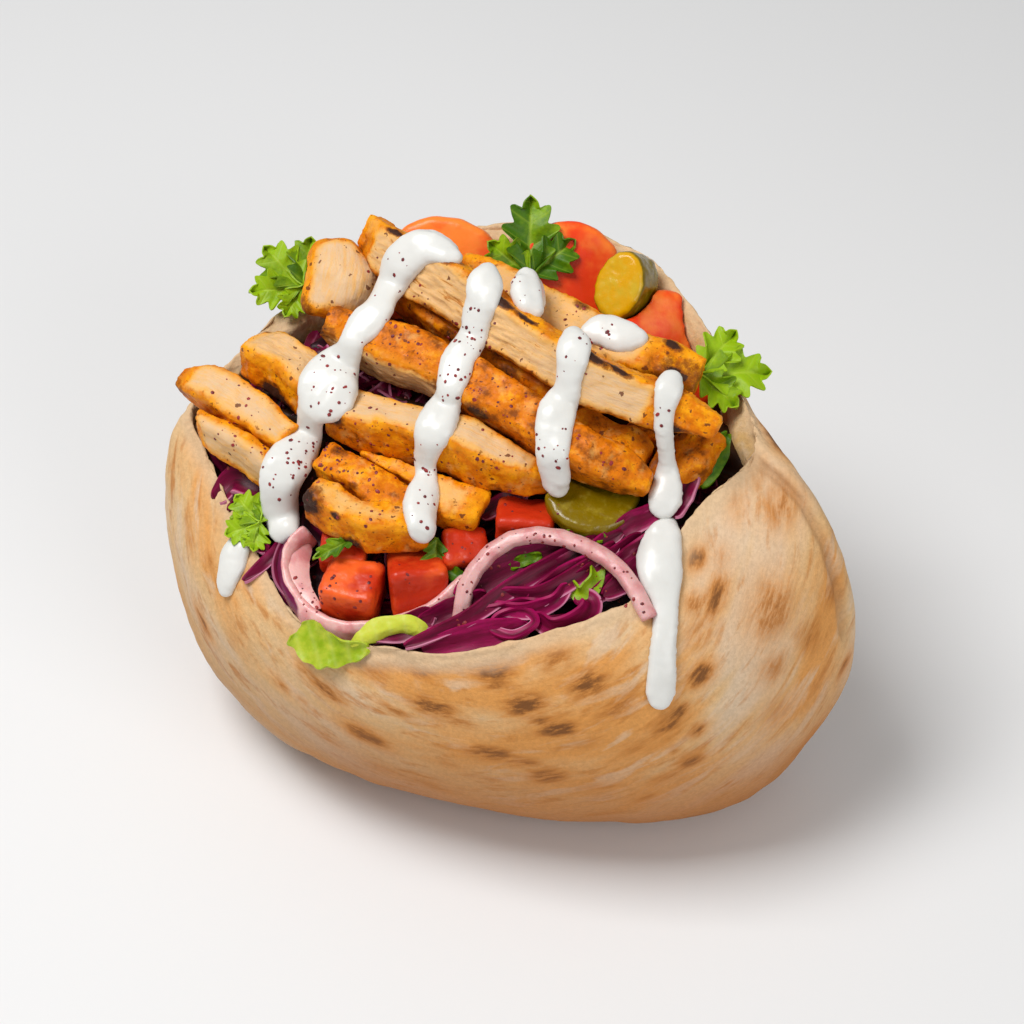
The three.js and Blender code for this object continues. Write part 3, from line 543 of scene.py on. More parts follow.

# For each strip: its roll in degrees; the face that shows a cut, from and to where along it, how
# pale that face is and how torn; how brown the rest is, which for the strips lying underneath is
# partly painted shade; how drawn out its charred spots are; and the spots, each a share of its
# length from the left, an angle from its top (0) to its front (90), a radius, and how burnt.
STRIPS = {
    "01": (-32, "front", 0.05, 0.86, 1, 1, 0.2, 3.4, [
        (0.1, 25, 1.3, 1), (0.24, 25, 1.7, 1), (0.44, 22, 1.6, 1), (0.51, 20, 1.2, 1),
        (0.7, 22, 1.7, 1), (0.76, 25, 1.5, 1), (0.92, 120, 1.8, 0.9)]),
    "02": (25, "front", 0, 0.43, 1, 0.5, 0.66, 1.5, [
        (0.52, 88, 2.8, 1), (0.4, 60, 4, 0.5), (0.02, 40, 3, 0.6), (0.62, 100, 3, 0.5),
        (0.44, 100, 3, 0.6)]),
    "03": (3, "top", 0, 0.93, 1, 0.25, 0.2, 1.3, [
        (0.05, 75, 3.2, 1), (0.8, 125, 3, 0.5), (0.27, 100, 1, 0.9)]),
    "04": (20, "top", 0.12, 0.8, 0.7, 0.5, 0.1, 1.8, [
        (0.86, -20, 1.6, 1), (0.93, 0, 2.4, 0.95), (0.97, 30, 7, 0.55), (0.5, -30, 1.6, 0.7)]),
    "05": (-14, "top", 0, 0.92, 1, 0.05, 0.1, 1.4, [(0.9, 60, 3, 0.5)]),
    "06": (-5, "top", 0, 1, 1, 0.7, 0.05, 1.3, [
        (0.43, 100, 3.4, 1), (0.58, 105, 3.2, 1), (0, -20, 1.5, 0.6)]),
    "07": (18, "top", 0.1, 1, 0.9, 0.1, 0.25, 1.5, [(0, 90, 3, 0.5)]),
    "08": (46, "top", 0, 1, 0.9, 0.25, 0.2, 1.5, [(0.03, 110, 2.5, 0.8), (0.25, 120, 2, 0.5)]),
    "09": (18, "top", 0, 0, 0, 0.3, 0.4, 1.5, [(0.12, 0, 2, 0.7), (0.4, 40, 1.4, 0.6)]),
    "10": (2, "top", 0, 0.8, 0.5, 0.2, 0.25, 1.3, [
        (0.02, 80, 4.4, 1), (0.3, 60, 1.5, 0.95), (0.45, 105, 2.6, 0.95)]),
    "11": (16, "top", 0, 0.9, 0.5, 0.25, 0.2, 1.5, [(0.6, 60, 1.2, 0.7)]),
    "12": (16, "top", 0, 0, 0, 0.3, 0.7, 1.5, [(0.4, 80, 3, 0.7), (0.7, 80, 3, 0.7)]),
    "13": (10, "top", 0, 0, 0, 0.3, 0.6, 1.5, [(0.5, 70, 2.5, 0.7)]),
    "14": (8, "top", 0, 0, 0, 0.3, 1, 1.5, [(0.5, 60, 3, 0.7)]),
    "15": (-8, "top", 0, 0, 0, 0.3, 0.7, 1.5, [(0.2, 40, 2.4, 0.8), (0.5, 90, 2, 0.8)]),
}
# Strip 01 is torn in its left half alone. Strip 05 is rounded by more smoothing, and then swollen
# again by this many millimetres.
HALF_TORN = "01"
ROUNDED = {"05": (220, 1.1)}


def swung(first, second, degrees):
    """The first way, swung towards the second by an angle."""
    return first * math.cos(math.radians(degrees)) + second * math.sin(math.radians(degrees))


def strip_axes(points, roll):
    """The ways a strip's length runs, its top looks and its front looks."""
    _, _, axes = np.linalg.svd(points - points.mean(0), full_matrices=False)
    length = axes[0]
    length = length * (np.sign(length[0]) if abs(length[0]) > 0.4 else -np.sign(length[1]))
    top = np.array([0, 0, 1.0]) - length * length[2]
    top /= np.linalg.norm(top)
    top = swung(top, np.cross(length, top), roll)
    return length, top, np.cross(length, top)


def off_the_spine(points, run):
    """How far each point is from a line through the middle of the strip, bends and all."""
    places = np.linspace(run.min(), run.max(), 10)
    nearest = np.abs(run[:, None] - places).argmin(1)
    spine = np.array([points[nearest == index].mean(0) for index in range(10)])
    return points - np.stack([np.interp(run, places, spine[:, axis]) for axis in range(3)], 1)


def even_out(piece, mesh_size, rounds, factor=0.5):
    """Gives a piece an even mesh of a size in millimetres and rounds its edges."""
    shape(piece, "REMESH", mode="VOXEL", voxel_size=mesh_size * MM)
    shape(piece, "SMOOTH", factor=factor, iterations=rounds)


def swell(piece, height):
    """Pushes the whole surface out by millimetres, or in where they are below 0."""
    shape(piece, "DISPLACE", strength=height * MM, mid_level=0)


def charred(points, facing, off, share, axes, drawn_out, chars):
    """How burnt each point of a strip is."""
    length, top, front = axes
    char = np.zeros(len(points))
    for place, angle, radius, strength in chars:
        way = swung(top, front, angle)
        spot = np.argmax(facing @ way - 6 * np.abs(share - place) + 0.05 * off @ way)
        away = points - points[spot]
        lengthways = away @ length
        sideways = np.linalg.norm(away - lengthways[:, None] * length, axis=1)
        away = np.hypot(lengthways / drawn_out, sideways)
        char = np.maximum(char, strength * (1 - fade(radius * 0.35, radius * 1.35, away)))
    return char


def chicken_strip(number, roll, cut_face, start, stop, pale, torn, brown, drawn_out, chars):
    """Turns a strip's solid to meat: its cut face and burns are painted on, its fibres are relief."""
    piece = from_solid("chicken_strip_" + number, "strip_" + number)
    rounds, swollen = ROUNDED.get(number, (9, 0))
    even_out(piece, STRIP_MESH, rounds)
    if swollen:
        swell(piece, swollen)
    points, facing = points_of(piece)
    length, top, front = strip_axes(points, roll)
    middle = points.mean(0)
    run = (points - middle) @ length
    share = (run - run.min()) / (run.max() - run.min())
    off = off_the_spine(points, run)
    way = top if cut_face == "top" else front
    cut = fade(0.5, 0.75, facing @ way) * fade(start - 0.03, start + 0.03, share)
    cut *= 1 - fade(stop - 0.03, stop + 0.03, share)
    # brow: a golden band on the seared side next to the cut, partly a painted highlight where the edge
    # catches the light.
    brow = np.zeros(len(points))
    if stop > start:
        from_edge = distance_between(points, cut > 0.5)
        brow = (1 - fade(0.3, 3, from_edge)) * (cut <= 0.5)
        cut *= pale * (0.25 + 0.75 * fade(0, 3.2, from_edge))
    char = charred(points, facing, off, share, (length, top, front), drawn_out, chars)
    # Partly painted shade: the underside of each strip is made browner.
    underside = fade(-0.3, 1, -(off @ top) / np.abs(off @ top).max())
    strand = np.stack([run / FIBRE_LENGTH, off @ front, off @ top], 1)
    paint(piece, "cut", cut)
    paint(piece, "char", char)
    paint(piece, "brown", np.clip(brown + 0.7 * underside, 0, 1.5))
    torn *= 1 - 0.85 * fade(0.5, 0.7, share) * (number == HALF_TORN)
    paint(piece, "torn", torn * cut)
    paint(piece, "brow", brow)
    paint(piece, "strand", (strand + 40 * int(number)) * MM)
    weigh(piece, "fibrous", cut * np.minimum(1, 0.12 + torn))
    weigh(piece, "seared", 1 - cut)
    guide = bpy.data.objects.new("guide", None)
    scene.collection.objects.link(guide)
    turned = Matrix((length, front, top)).transposed().to_4x4()
    stretched = Matrix.Diagonal((FIBRE_LENGTH * MM, FIBRE_WIDTH * MM, FIBRE_WIDTH * MM, 1))
    guide.matrix_world = Matrix.Translation(Vector(middle) * MM) @ turned @ stretched
    bpy.context.view_layer.update()
    relief(piece, 13, 2.6)
    relief(piece, 5, 0.8)
    relief(piece, 0, 1, group="fibrous", along=guide, noise="HARD_NOISE", depth=1)
    relief(piece, 2.4, 0.7, group="seared", depth=3)
    relief(piece, 0.9, 0.25, group="seared", depth=1)
    bpy.data.objects.remove(guide)
    shade_soft(piece)
    return piece


MEAT_PALE = (0.71, 0.475, 0.27)
MEAT_WARM = (0.8, 0.42, 0.11)
SEARED_GOLD = (0.92, 0.36, 0.003)
SEARED_DEEP = (0.68, 0.17, 0.0)
SEARED_RICH = (0.5, 0.12, 0.002)
SEARED_BROWN = (0.2, 0.045, 0.002)
CHARRED = (0.035, 0.014, 0.01)
SPLIT = (0.42, 0.12, 0.01)
EDGE_GOLD = (0.74, 0.27, 0.01)
PEPPER = (0.13, 0.03, 0.012)

chicken_finish, tree, shader = new_finish(
    "chicken_grilled",
    Specular_IOR_Level=0.16,
    Subsurface_Weight=0.06,
    Subsurface_Scale=1.5 * MM,
    Subsurface_Radius=(1.0, 0.4, 0.1),
)
strand = attribute(tree, "strand", "Vector")
cut, torn, char = (attribute(tree, name) for name in ("cut", "torn", "char"))

# The cut face: pale meat, its fibres and the splits between them.
fibre = grain(tree, 1.2, 5, 0.68, 0.6, place=strand)
meat = laid_over(
    tree,
    MEAT_PALE,
    (MEAT_WARM, fibre, 0.42, 0.74, 0, 0.85),
    (MEAT_WARM, times(tree, torn, 0.4)),
    (SPLIT, times(tree, times(tree, step(tree, fibre, 0.58, 0.67), torn), 0.8)),
)

# The seared sides, which are darkest underneath, partly as painted shade, and lightest next to the cut,
# where a golden band is partly a painted highlight.
patches = plus(tree, grain(tree, 4.5, 5, 0.66), times(tree, attribute(tree, "brown"), 0.24))
seared = laid_over(
    tree,
    SEARED_GOLD,
    (SEARED_DEEP, patches, 0.42, 0.66),
    (SEARED_RICH, grain(tree, 1.7, 4, 0.7), 0.53, 0.68, 0, 0.5),
    (SEARED_BROWN, patches, 0.64, 0.84, 0, 0.9),
    (MEAT_WARM, grain(tree, 3.5, 3), 0.54, 0.74, 0, 0.5),
    (EDGE_GOLD, times(tree, attribute(tree, "brow"), 0.55)),
)

# Ground pepper: some of the cells have a dark speck in their middle.
body = put(tree, "TexCoord").outputs["Object"]
wobbly = mix(tree, 0.0016, body, put(tree, "TexNoise", {"Vector": body, "Scale": 900}).outputs["Color"])
cells = put(tree, "TexVoronoi", {"Vector": wobbly, "Scale": 1 / (2.6 * MM)})
chance = put(tree, "SeparateColor", {0: cells.outputs["Color"]})
speck = calc(tree, "LESS_THAN", cells.outputs["Distance"], times(tree, chance.outputs[1], 0.24))
pepper = times(tree, speck, calc(tree, "GREATER_THAN", chance.outputs[0], 0.5))

broken_cut = plus(tree, cut, times(tree, plus(tree, grain(tree, 3, 4), -0.5), 0.9))
freckles = step(tree, grain(tree, 1.3, 3, 0.65), 0.6, 0.68, 0, 0.75)
ragged_char = plus(tree, char, times(tree, plus(tree, grain(tree, 1.8, 5, 0.75), -0.5), 1.4))
ragged_char = times(tree, ragged_char, step(tree, char, 0.02, 0.3))
colour = laid_over(
    tree,
    seared,
    (MEAT_WARM, broken_cut, 0.15, 0.55),
    (meat, broken_cut, 0.45, 1),
    (SEARED_BROWN, times(tree, freckles, step(tree, cut, 0.3, 0.9, 1, 0.1))),
    (PEPPER, times(tree, pepper, 0.85)),
    (SEARED_BROWN, ragged_char, 0.1, 0.6, 0, 0.85),
    (CHARRED, ragged_char, 0.6, 0.85, 0, 0.95),
)
oily = step(tree, grain(tree, 3, 3), 0.35, 0.65, 0.36, 0.66)
tree.links.new(oily, shader.inputs["Roughness"])
height = plus(tree, grain(tree, 0.4, 2, place=strand), grain(tree, 0.9, 3))
connect(tree, shader, colour, height, 0.2, 0.6)

chicken = []
for number, cooked in STRIPS.items():
    strip = chicken_strip(number, *cooked)
    show(strip, "chicken_strip_" + number, chicken_finish)
    chicken.append(strip)


# ---------------------------------------------------------------- tomato
# Ripe tomato, cut by hand: three round slices stand inside the back of the mouth, and five cubes
# with soft edges lie in front, under the meat. The flesh is wet and turns orange towards its top,
# partly as painted light, and the pieces further in are painted darker, as in shade.

CUBE_RED = (0.55, 0.03, 0.006)
CUBE_ORANGE = (0.9, 0.13, 0.02)
SLICE_RED = (0.88, 0.05, 0.005)
SLICE_ORANGE = (1.0, 0.24, 0.03)


def tomato(name, deep, light):
    """Wet tomato flesh, from a deep red to a lighter one."""
    finish, tree, shader = new_finish(
        name,
        Roughness=0.32,
        Specular_IOR_Level=0.3,
        Subsurface_Weight=0.1,
        Subsurface_Scale=2 * MM,
        Subsurface_Radius=(1.0, 0.25, 0.1),
    )
    upper = times(tree, attribute(tree, "upper"), 0.25)
    blend = plus(tree, grain(tree, 8, 3), upper)
    flesh = laid_over(tree, deep, (light, blend, 0.42, 0.78))
    connect(tree, shader, flesh, grain(tree, 0.8, 3), 0.12, 0.5)
    return finish


vegetables = []
slice_finish = tomato("tomato_sliced", SLICE_RED, SLICE_ORANGE)
cube_finish = tomato("tomato_cut", CUBE_RED, CUBE_ORANGE)

for number in ("01", "02", "03"):
    piece = from_solid("tomato_slice_" + number, "slice_of_tomato_" + number)
    even_out(piece, 0.8, 8)
    points, _ = points_of(piece)
    upper = (points[:, 2] - points[:, 2].min()) / np.ptp(points[:, 2])
    # Painted light and shade: slice 01 runs from red to orange up its height, the other two stay darker.
    paint(piece, "upper", upper if number == "01" else 0.6 * upper - 0.45)
    relief(piece, 8, 0.6)
    shade_soft(piece)
    show(piece, "tomato_slice_" + number, slice_finish)
    vegetables.append(piece)

# Each cube: its middle, its three sizes, its turn about the upright and its tilt, in degrees.
CUBES = {
    "01": ((-31.2, -29.9, 69), (13.5, 12, 12), -4, 8),
    "02": ((-16, -26.3, 72), (13.5, 12.5, 12.5), 19, -14),
    "03": ((-6, -18.8, 75.5), (11, 10.5, 10.5), 16, 12),
    "04": ((7.3, -11.6, 80.5), (14, 11.5, 11), 6, -8),
    "05": ((-35.5, -21, 72.8), (11.5, 9.5, 8.5), 8, 15),
}
for number, (middle, cube_size, turned, tilted) in CUBES.items():
    bpy.ops.mesh.primitive_cube_add(size=MM, location=np.array(middle) * MM)
    piece = bpy.context.object
    piece.name = "cube_of_tomato_" + number
    piece.scale = cube_size
    piece.rotation_euler = (math.radians(tilted), 0, math.radians(turned))
    bpy.ops.object.transform_apply(location=True, rotation=True, scale=True)
    shape(piece, "BEVEL", width=1.5 * MM, segments=4)
    even_out(piece, 0.4, 4)
    points, _ = points_of(piece)
    # Painted light and shade: cube 01 is made lighter than the four others, which are darker.
    paint(piece, "upper", np.full(len(points), 0.3 if number == "01" else -0.15))
    relief(piece, 9, 1.5)
    relief(piece, 2, 0.3)
    shade_soft(piece)
    show(piece, "tomato_cube_" + number, cube_finish)
    vegetables.append(piece)


# ---------------------------------------------------------------- pickle
# Pickled cucumber, cut across: the end of one stands at the back and a thick slice lies at the
# front. The flesh is a wet olive yellow, the skin darker with pale stripes.

PICKLE_FLESH = (0.68, 0.35, 0.0)
PICKLE_SEEDS = (0.6, 0.4, 0.02)
PICKLE_SKIN = (0.2, 0.13, 0.0)
PICKLE_STRIPE = (0.45, 0.36, 0.04)
pickle_finish, tree, shader = new_finish(
    "pickle_wet",
    Roughness=0.22,
    Specular_IOR_Level=0.4,
    Subsurface_Weight=0.1,
    Subsurface_Scale=2 * MM,
    Subsurface_Radius=(0.8, 0.6, 0.1),
)
skin = laid_over(tree, PICKLE_SKIN, (PICKLE_STRIPE, grain(tree, 2.5, 3), 0.5, 0.75, 0, 0.4))
flesh = laid_over(tree, PICKLE_FLESH, (PICKLE_SEEDS, grain(tree, 5, 3), 0.4, 0.7))
colour = laid_over(tree, flesh, (skin, attribute(tree, "skin"), 0.3, 0.6))
connect(tree, shader, colour, grain(tree, 1.2, 3), 0.2, 0.5)

# The way each slice's cut face looks.
PICKLE_FACES = {"back": (-0.25, -0.72, 0.64), "front": (0.05, -0.22, 0.97)}
for place, way in PICKLE_FACES.items():
    piece = from_solid("pickle_slice_" + place, "slice_of_pickle_" + place)
    even_out(piece, 0.5, 8)
    points, facing = points_of(piece)
    skin = 1 - np.abs(facing @ np.array(Vector(way).normalized()))
    # The front slice is painted in its dark skin colour over its cut face too, darker further back under
    # the strips: partly its skin, partly painted shade.
    if place == "front":
        skin = np.maximum(skin, 0.75 + 0.01 * (points[:, 1] + 5))
    paint(piece, "skin", skin)
    relief(piece, 3, 0.5)
    shade_soft(piece)
    show(piece, "pickle_slice_" + place, pickle_finish)
    vegetables.append(piece)


# ---------------------------------------------------------------- onion
# Red onion, sliced to rings: an arch cut from one ring lies on the heap, and most of another stands
# at the left, with its purple skin on the outside. The flesh is wet, white and pink.

ONION_WHITE = (0.8, 0.46, 0.43)
ONION_PINK = (0.68, 0.27, 0.27)
ONION_SKIN = (0.15, 0.002, 0.05)
onion_finish, tree, shader = new_finish(
    "onion_wet",
    Roughness=0.28,
    Specular_IOR_Level=0.4,
    Subsurface_Weight=0.2,
    Subsurface_Scale=1.5 * MM,
)
colour = laid_over(
    tree,
    ONION_WHITE,
    (ONION_PINK, grain(tree, 4, 3), 0.4, 0.7),
    (ONION_SKIN, attribute(tree, "skin"), 0.3, 0.55),
)
connect(tree, shader, colour, grain(tree, 1, 3), 0.12, 0.5)

RING_MIDDLE = np.array([-24, -24, 68])
for part in ("arch", "ring"):
    piece = from_solid("onion_" + part, "onion_slice_" + part)
    even_out(piece, 0.4, 10)
    points, facing = points_of(piece)
    outward = points - RING_MIDDLE
    outward[:, 2] = 0
    outward /= np.linalg.norm(outward, axis=1)[:, None]
    skin = fade(0.45, 0.85, (facing * outward).sum(1)) * (1 - fade(-46, -40, points[:, 0]))
    paint(piece, "skin", skin if part == "ring" else np.full(len(points), 0.36))
    if part == "ring":
        swell(piece, 0.45)
    relief(piece, 6, 0.5)
    shade_soft(piece)
    show(piece, "onion_" + part, onion_finish)
    vegetables.append(piece)


def smooth_path(path, shares):
    """Points at shares of the way along a line that runs smoothly through the given ones."""
    path = np.array(path, float)
    path = np.vstack([2 * path[0] - path[1], path, 2 * path[-1] - path[-2]])
    spans = len(path) - 3
    place = np.clip(np.asarray(shares) * spans, 0, spans - 1e-6)
    index = place.astype(int)
    t = (place - index)[:, None]
    a, b, c, d = (path[index + shift] for shift in range(4))
    return b + 0.5 * t * (c - a + t * (2 * a - 5 * b + 4 * c - d + t * (3 * (b - c) + d - a)))


CREASE = math.radians(50)


def sheet(path, widths, roll, cup, ripple, tone, steps=36, lanes=8, thick=0.5, frill=0.0):
    """A thin strip along a path: its broad side faces up and forwards, unless it is rolled. widths
    are shared out along it, cup bends it across, ripple waves its sides and frill scallops one."""
    bpy.ops.mesh.primitive_grid_add(x_subdivisions=steps, y_subdivisions=lanes, size=2 * MM)
    piece = bpy.context.object
    flat, _ = points_of(piece)
    share = (flat[:, 0] + 1) / 2
    side = flat[:, 1]
    line = smooth_path(path, share)
    ahead = smooth_path(path, np.minimum(share + 0.01, 1))
    ahead -= smooth_path(path, np.maximum(share - 0.01, 0))
    ahead /= np.linalg.norm(ahead, axis=1)[:, None]
    across = np.cross(np.array(POUR), ahead)
    across /= np.linalg.norm(across, axis=1)[:, None]
    up = np.cross(ahead, across)
    across, up = swung(across, up, roll), swung(up, -across, roll)
    width = np.interp(share, np.linspace(0, 1, len(widths)), widths)
    width *= 1 - 0.5 * np.abs(share * 2 - 1) ** 12
    lift = cup * side**2 + ripple * np.sin(share * 13 + 5 * tone + side) * np.abs(side)
    scallop = np.sin(share * 19 + 2 * np.sin(share * 11)) * (side < 0) * side**2
    lift += 4 * frill * np.sin(share * 23 + 1) * (side < 0) * side**2
    side = side * (1 + frill * scallop)
    move_points(piece, line + across * (side * width / 2)[:, None] + up * lift[:, None])
    length = np.linalg.norm(np.diff(np.array(path, float), axis=0), axis=1).sum()
    paint(piece, "edge", np.where(side < 0, -side, 0.75 * side))
    paint(piece, "shade", np.full(len(flat), tone))
    strand = [share * length / 6, side * width / 2, np.full(len(flat), 30 * tone)]
    paint(piece, "strand", np.stack(strand, 1) * MM)
    shape(piece, "SOLIDIFY", thickness=thick * MM, offset=0)
    bpy.ops.object.shade_smooth_by_angle(angle=CREASE)
    return piece


# The pale inner side of the onion ring, where the ring lies open at its left.
RING_LAYER = [(-45.5, -19, 72), (-46.5, -25, 70.5), (-44.5, -31, 68.5), (-39, -36, 67)]
layer = sheet(RING_LAYER, [4, 6.5, 6.5, 3.5], -8, -0.6, 0.1, 0.5, thick=1.4)
paint(layer, "skin", np.zeros(len(layer.data.vertices)))
layer.data.materials.append(onion_finish)
layer.name = "onion_layer"
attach(layer, "root")
vegetables.append(layer)


# ---------------------------------------------------------------- salad heap
# Red cabbage, shredded: a packed heap with shreds of every size lying over it. A shred is a glossy
# purple strip with pale cut edges. A few shreds of green leaf lie among them.


def gather(pieces, name):
    """Joins pieces to one with its faces turned outwards."""
    take(*pieces)
    bpy.ops.object.join()
    joined = bpy.context.object
    joined.name = name
    edit_all(joined, bpy.ops.mesh.normals_make_consistent, inside=False)
    return joined


def over_mouth(path):
    """Places (x, y, height over the mouth's plane) as points."""
    return [(x, y, mouth_height(x, y) + height) for x, y, height in path]


# The shreds that lie on top: path, widths along it, roll, cup, and how bright.
SHREDS = [
    ([(-15, -45, -1.6), (-7, -41, -0.6), (0, -37, 0.5), (8, -30, 1.5), (18, -22, 1.5), (27, -15, 1)],
     [2.6, 4.6, 4.4], 12, 0.5, 0.45),
    ([(-11, -44, -4), (-2, -41.5, -3), (7, -38.8, -2.6), (13, -36.5, -2.6)], [5, 8.5, 4], 0, 0.9, 0.75),
    ([(-1, -37, -1.5), (5, -32, 0.4), (15, -31, 1), (25, -23, 1), (30, -17, 1)],
     [2.6, 5, 4.4], 10, 0.7, 0.4),
    ([(-5, -32, -2.2), (4, -26, -0.6), (14, -21, 0), (25, -16, 0)], [7, 10.5, 8], -5, 1.3, 0.6),
    ([(3, -34, -0.6), (12, -34.5, 0), (18, -32, 0.4), (20.5, -27.5, 0.4)], [3.6, 4.6, 3], 20, 0.7, 0.8),
    ([(14, -35, -1.2), (19, -37.5, -0.6), (25, -35, -0.6), (26.5, -31, -0.6), (23, -28.5, -1.6)],
     [4.4, 6.6, 4.4], 24, 1, 0.7),
    ([(24, -20, 0.4), (31, -13, 1.4), (36, -10, 2), (42, -6, 2.4)], [4.4, 5.8, 4.4], 5, 0.9, 0.6),
    ([(41.5, -9, 1.4), (43, -4, 2), (45, 2, 1.6)], [4.6, 6, 4], 0, 1, 0.3),
    ([(27, -23, -1), (33, -19, 0.6), (39, -13, 1.6)], [3, 4, 3], 20, 0.5, 0.5),
    ([(4, -38.5, -1.6), (6, -35.6, -0.6), (11.5, -34.6, 0), (14.5, -37, -0.4),
      (10, -39.8, -1.6), (4, -38.5, -2)],
     [2, 2.6], 35, 0.2, 0.8),
    ([(-13, -38.5, -2.6), (-6, -35, -2), (2, -31, -1)], [4, 6, 4.4], 0, 0.9, 0.4),
    ([(12, -32, 0.5), (19, -26, 1.6), (29, -19, 1.6)], [3.2, 4.4, 3.2], 15, 0.5, 0.5),
    ([(-4, -11, -1), (1, -8, 0), (6, -5, 0)], [4, 5, 3.4], 0, 0.5, 0.1),
    ([(-1, -36, -0.6), (10, -33.5, 0.8), (17, -32.5, 0.8)], [2, 2.6, 2], 30, 0.2, 0.65),
    ([(12, -27, 0), (20, -22, 1), (31, -14, 1.2)], [3.4, 4.4, 3.4], -10, 0.5, 0.25),
    ([(-70, -10, -5.5), (-67, -6, -3.5), (-63, -7, -2.5), (-57, -9, -3)], [5.4, 7.4, 5.4], -15, 1, 0.35),
    ([(-66, -13, -5), (-62, -11, -4), (-57, -13, -4)], [4, 5.4, 4], 15, 0.6, 0.2),
    ([(-58.5, -29.5, -6), (-53, -24, -4.5), (-49.5, -18.5, -3.5)], [2, 3.4, 2.6], 0, 0.4, 0.45),
    ([(-61.5, -15.5, -4.5), (-58, -20, -4), (-54, -22.5, -4.5)], [3, 4, 3], 0, 0.4, 0.4),
    ([(-47.5, -17, -3), (-50, -22, -4), (-49, -29, -4.6), (-42.5, -35.5, -5)], [3, 4.4, 2], 0, 0.4, 0.15),
    ([(17, -30.5, -1), (24, -25, -0.4), (30, -20, 0), (36, -14, 0.4)], [4, 6, 5], 5, 0.8, 0.35),
    ([(29, -28, -2), (33, -24.5, -1.6), (37, -20, -1.2), (40, -15.5, -1)], [3.4, 5.4, 6, 4], -5, 0.6, 0.4),
    ([(24, -30, -2.5), (29, -26, -2), (34, -21, -1.6)], [4, 5, 4], 12, 0.5, 0.55),
    ([(0, -41, -3.4), (6, -38.5, -3), (12, -36, -3)], [4, 6, 4], 0, 0.4, 0.4),
    ([(-24, -41, -4), (-17, -40, -3), (-10, -36, -2)], [4, 6.5, 5], 0, 0.7, 0.3),
]
# How many more are strewn by chance in front and at the back, and how far up the pour plane the
# meat starts to cover the heap, and stops; there the heap and the loose shreds are painted dark as its
# shadow.
LOOSE_SHREDS = 90
BACK_SHREDS = 140
UNDER_MEAT = 47
OVER_MEAT = 82

core = from_solid("salad_heap", "cabbage_heap")
even_out(core, 0.9, 2)
swell(core, -0.6)
relief(core, 3, 1)
points, facing = points_of(core)
paint(core, "edge", np.zeros(len(points)))
paint(core, "strand", points * MM)
# Painted shade: the core is darker all over so the gaps between shreds look dark, and darkest where the
# meat lies over it.
rise = points @ np.array(RISE)
covered = fade(UNDER_MEAT - 2, UNDER_MEAT + 4, rise) * (1 - fade(OVER_MEAT, OVER_MEAT + 8, rise))
paint(core, "shade", -0.15 - 0.3 * covered)
shade_soft(core)
bpy.context.view_layer.update()


def pour_on(pieces, across, up):
    """Where something falling the way the sauce falls comes to lie on the pieces, how high that is
    over the plane it falls through, and the way they face there. Nothing if it misses."""
    start = (ACROSS * across + RISE * up + POUR * 250) * MM
    best = None
    for piece in pieces:
        hit, place, way, _ = piece.ray_cast(start, -POUR)
        if hit and (best is None or place.dot(POUR) > best[1] * MM):
            best = (place / MM, place.dot(POUR) / MM, way.copy())
    return best


shreds = []
for path, widths, roll, cup, tone in SHREDS:
    lifted = over_mouth([(x, y, height + 0.7) for x, y, height in path])
    shreds.append(sheet(lifted, widths, roll, cup, 0.3, tone, thick=0.7))
dice = random.Random(5)
for count in range(LOOSE_SHREDS + BACK_SHREDS):
    at_back = count >= LOOSE_SHREDS
    across, up = dice.uniform(-68, 44), dice.uniform(72, 108) if at_back else dice.uniform(8, 75)
    heading = math.radians(dice.gauss(36, 26) if across > -15 else dice.gauss(60, 60))
    stride = dice.uniform(3, 6)
    path = []
    for _ in range(5):
        landing = pour_on([core], across, up)
        if not landing:
            break
        path.append(tuple(landing[0] + POUR * dice.uniform(-0.6, 0.4)))
        across += stride * math.cos(heading)
        up += stride * math.sin(heading)
        heading += dice.gauss(0, 0.35)
    if len(path) < 3 or (up < UNDER_MEAT and across > -20 and dice.random() < 0.6):
        continue
    width = dice.choice((3, 4, 5, 6, 7))
    # Painted shade: shreds lying under the meat are made much darker, and those at the back a little
    # darker.
    dark = 0.15 if at_back else 0.4 if up > UNDER_MEAT else 0
    roll = dice.uniform(-35, 35)
    tone = dice.uniform(0, 0.5) - dark
    widths = [width * 0.7, width, width * 0.7]
    shreds.append(sheet(path, widths, roll, 0.15 * width, 0.3, tone, steps=16, lanes=6))

CABBAGE_DARK = (0.022, 0.002, 0.006)
CABBAGE_DEEP = (0.13, 0.002, 0.026)
CABBAGE_BRIGHT = (0.34, 0.005, 0.085)
CABBAGE_EDGE = (0.6, 0.22, 0.34)
IN_THE_GAPS = (0.04, 0.015, 0.006)
cabbage_finish, tree, shader = new_finish(
    "cabbage_shredded",
    Roughness=0.38,
    Specular_IOR_Level=0.16,
    Subsurface_Weight=0.05,
    Subsurface_Scale=MM,
)
edge, shade = attribute(tree, "edge"), attribute(tree, "shade")
streak = grain(tree, 1.2, 3, place=attribute(tree, "strand", "Vector"))
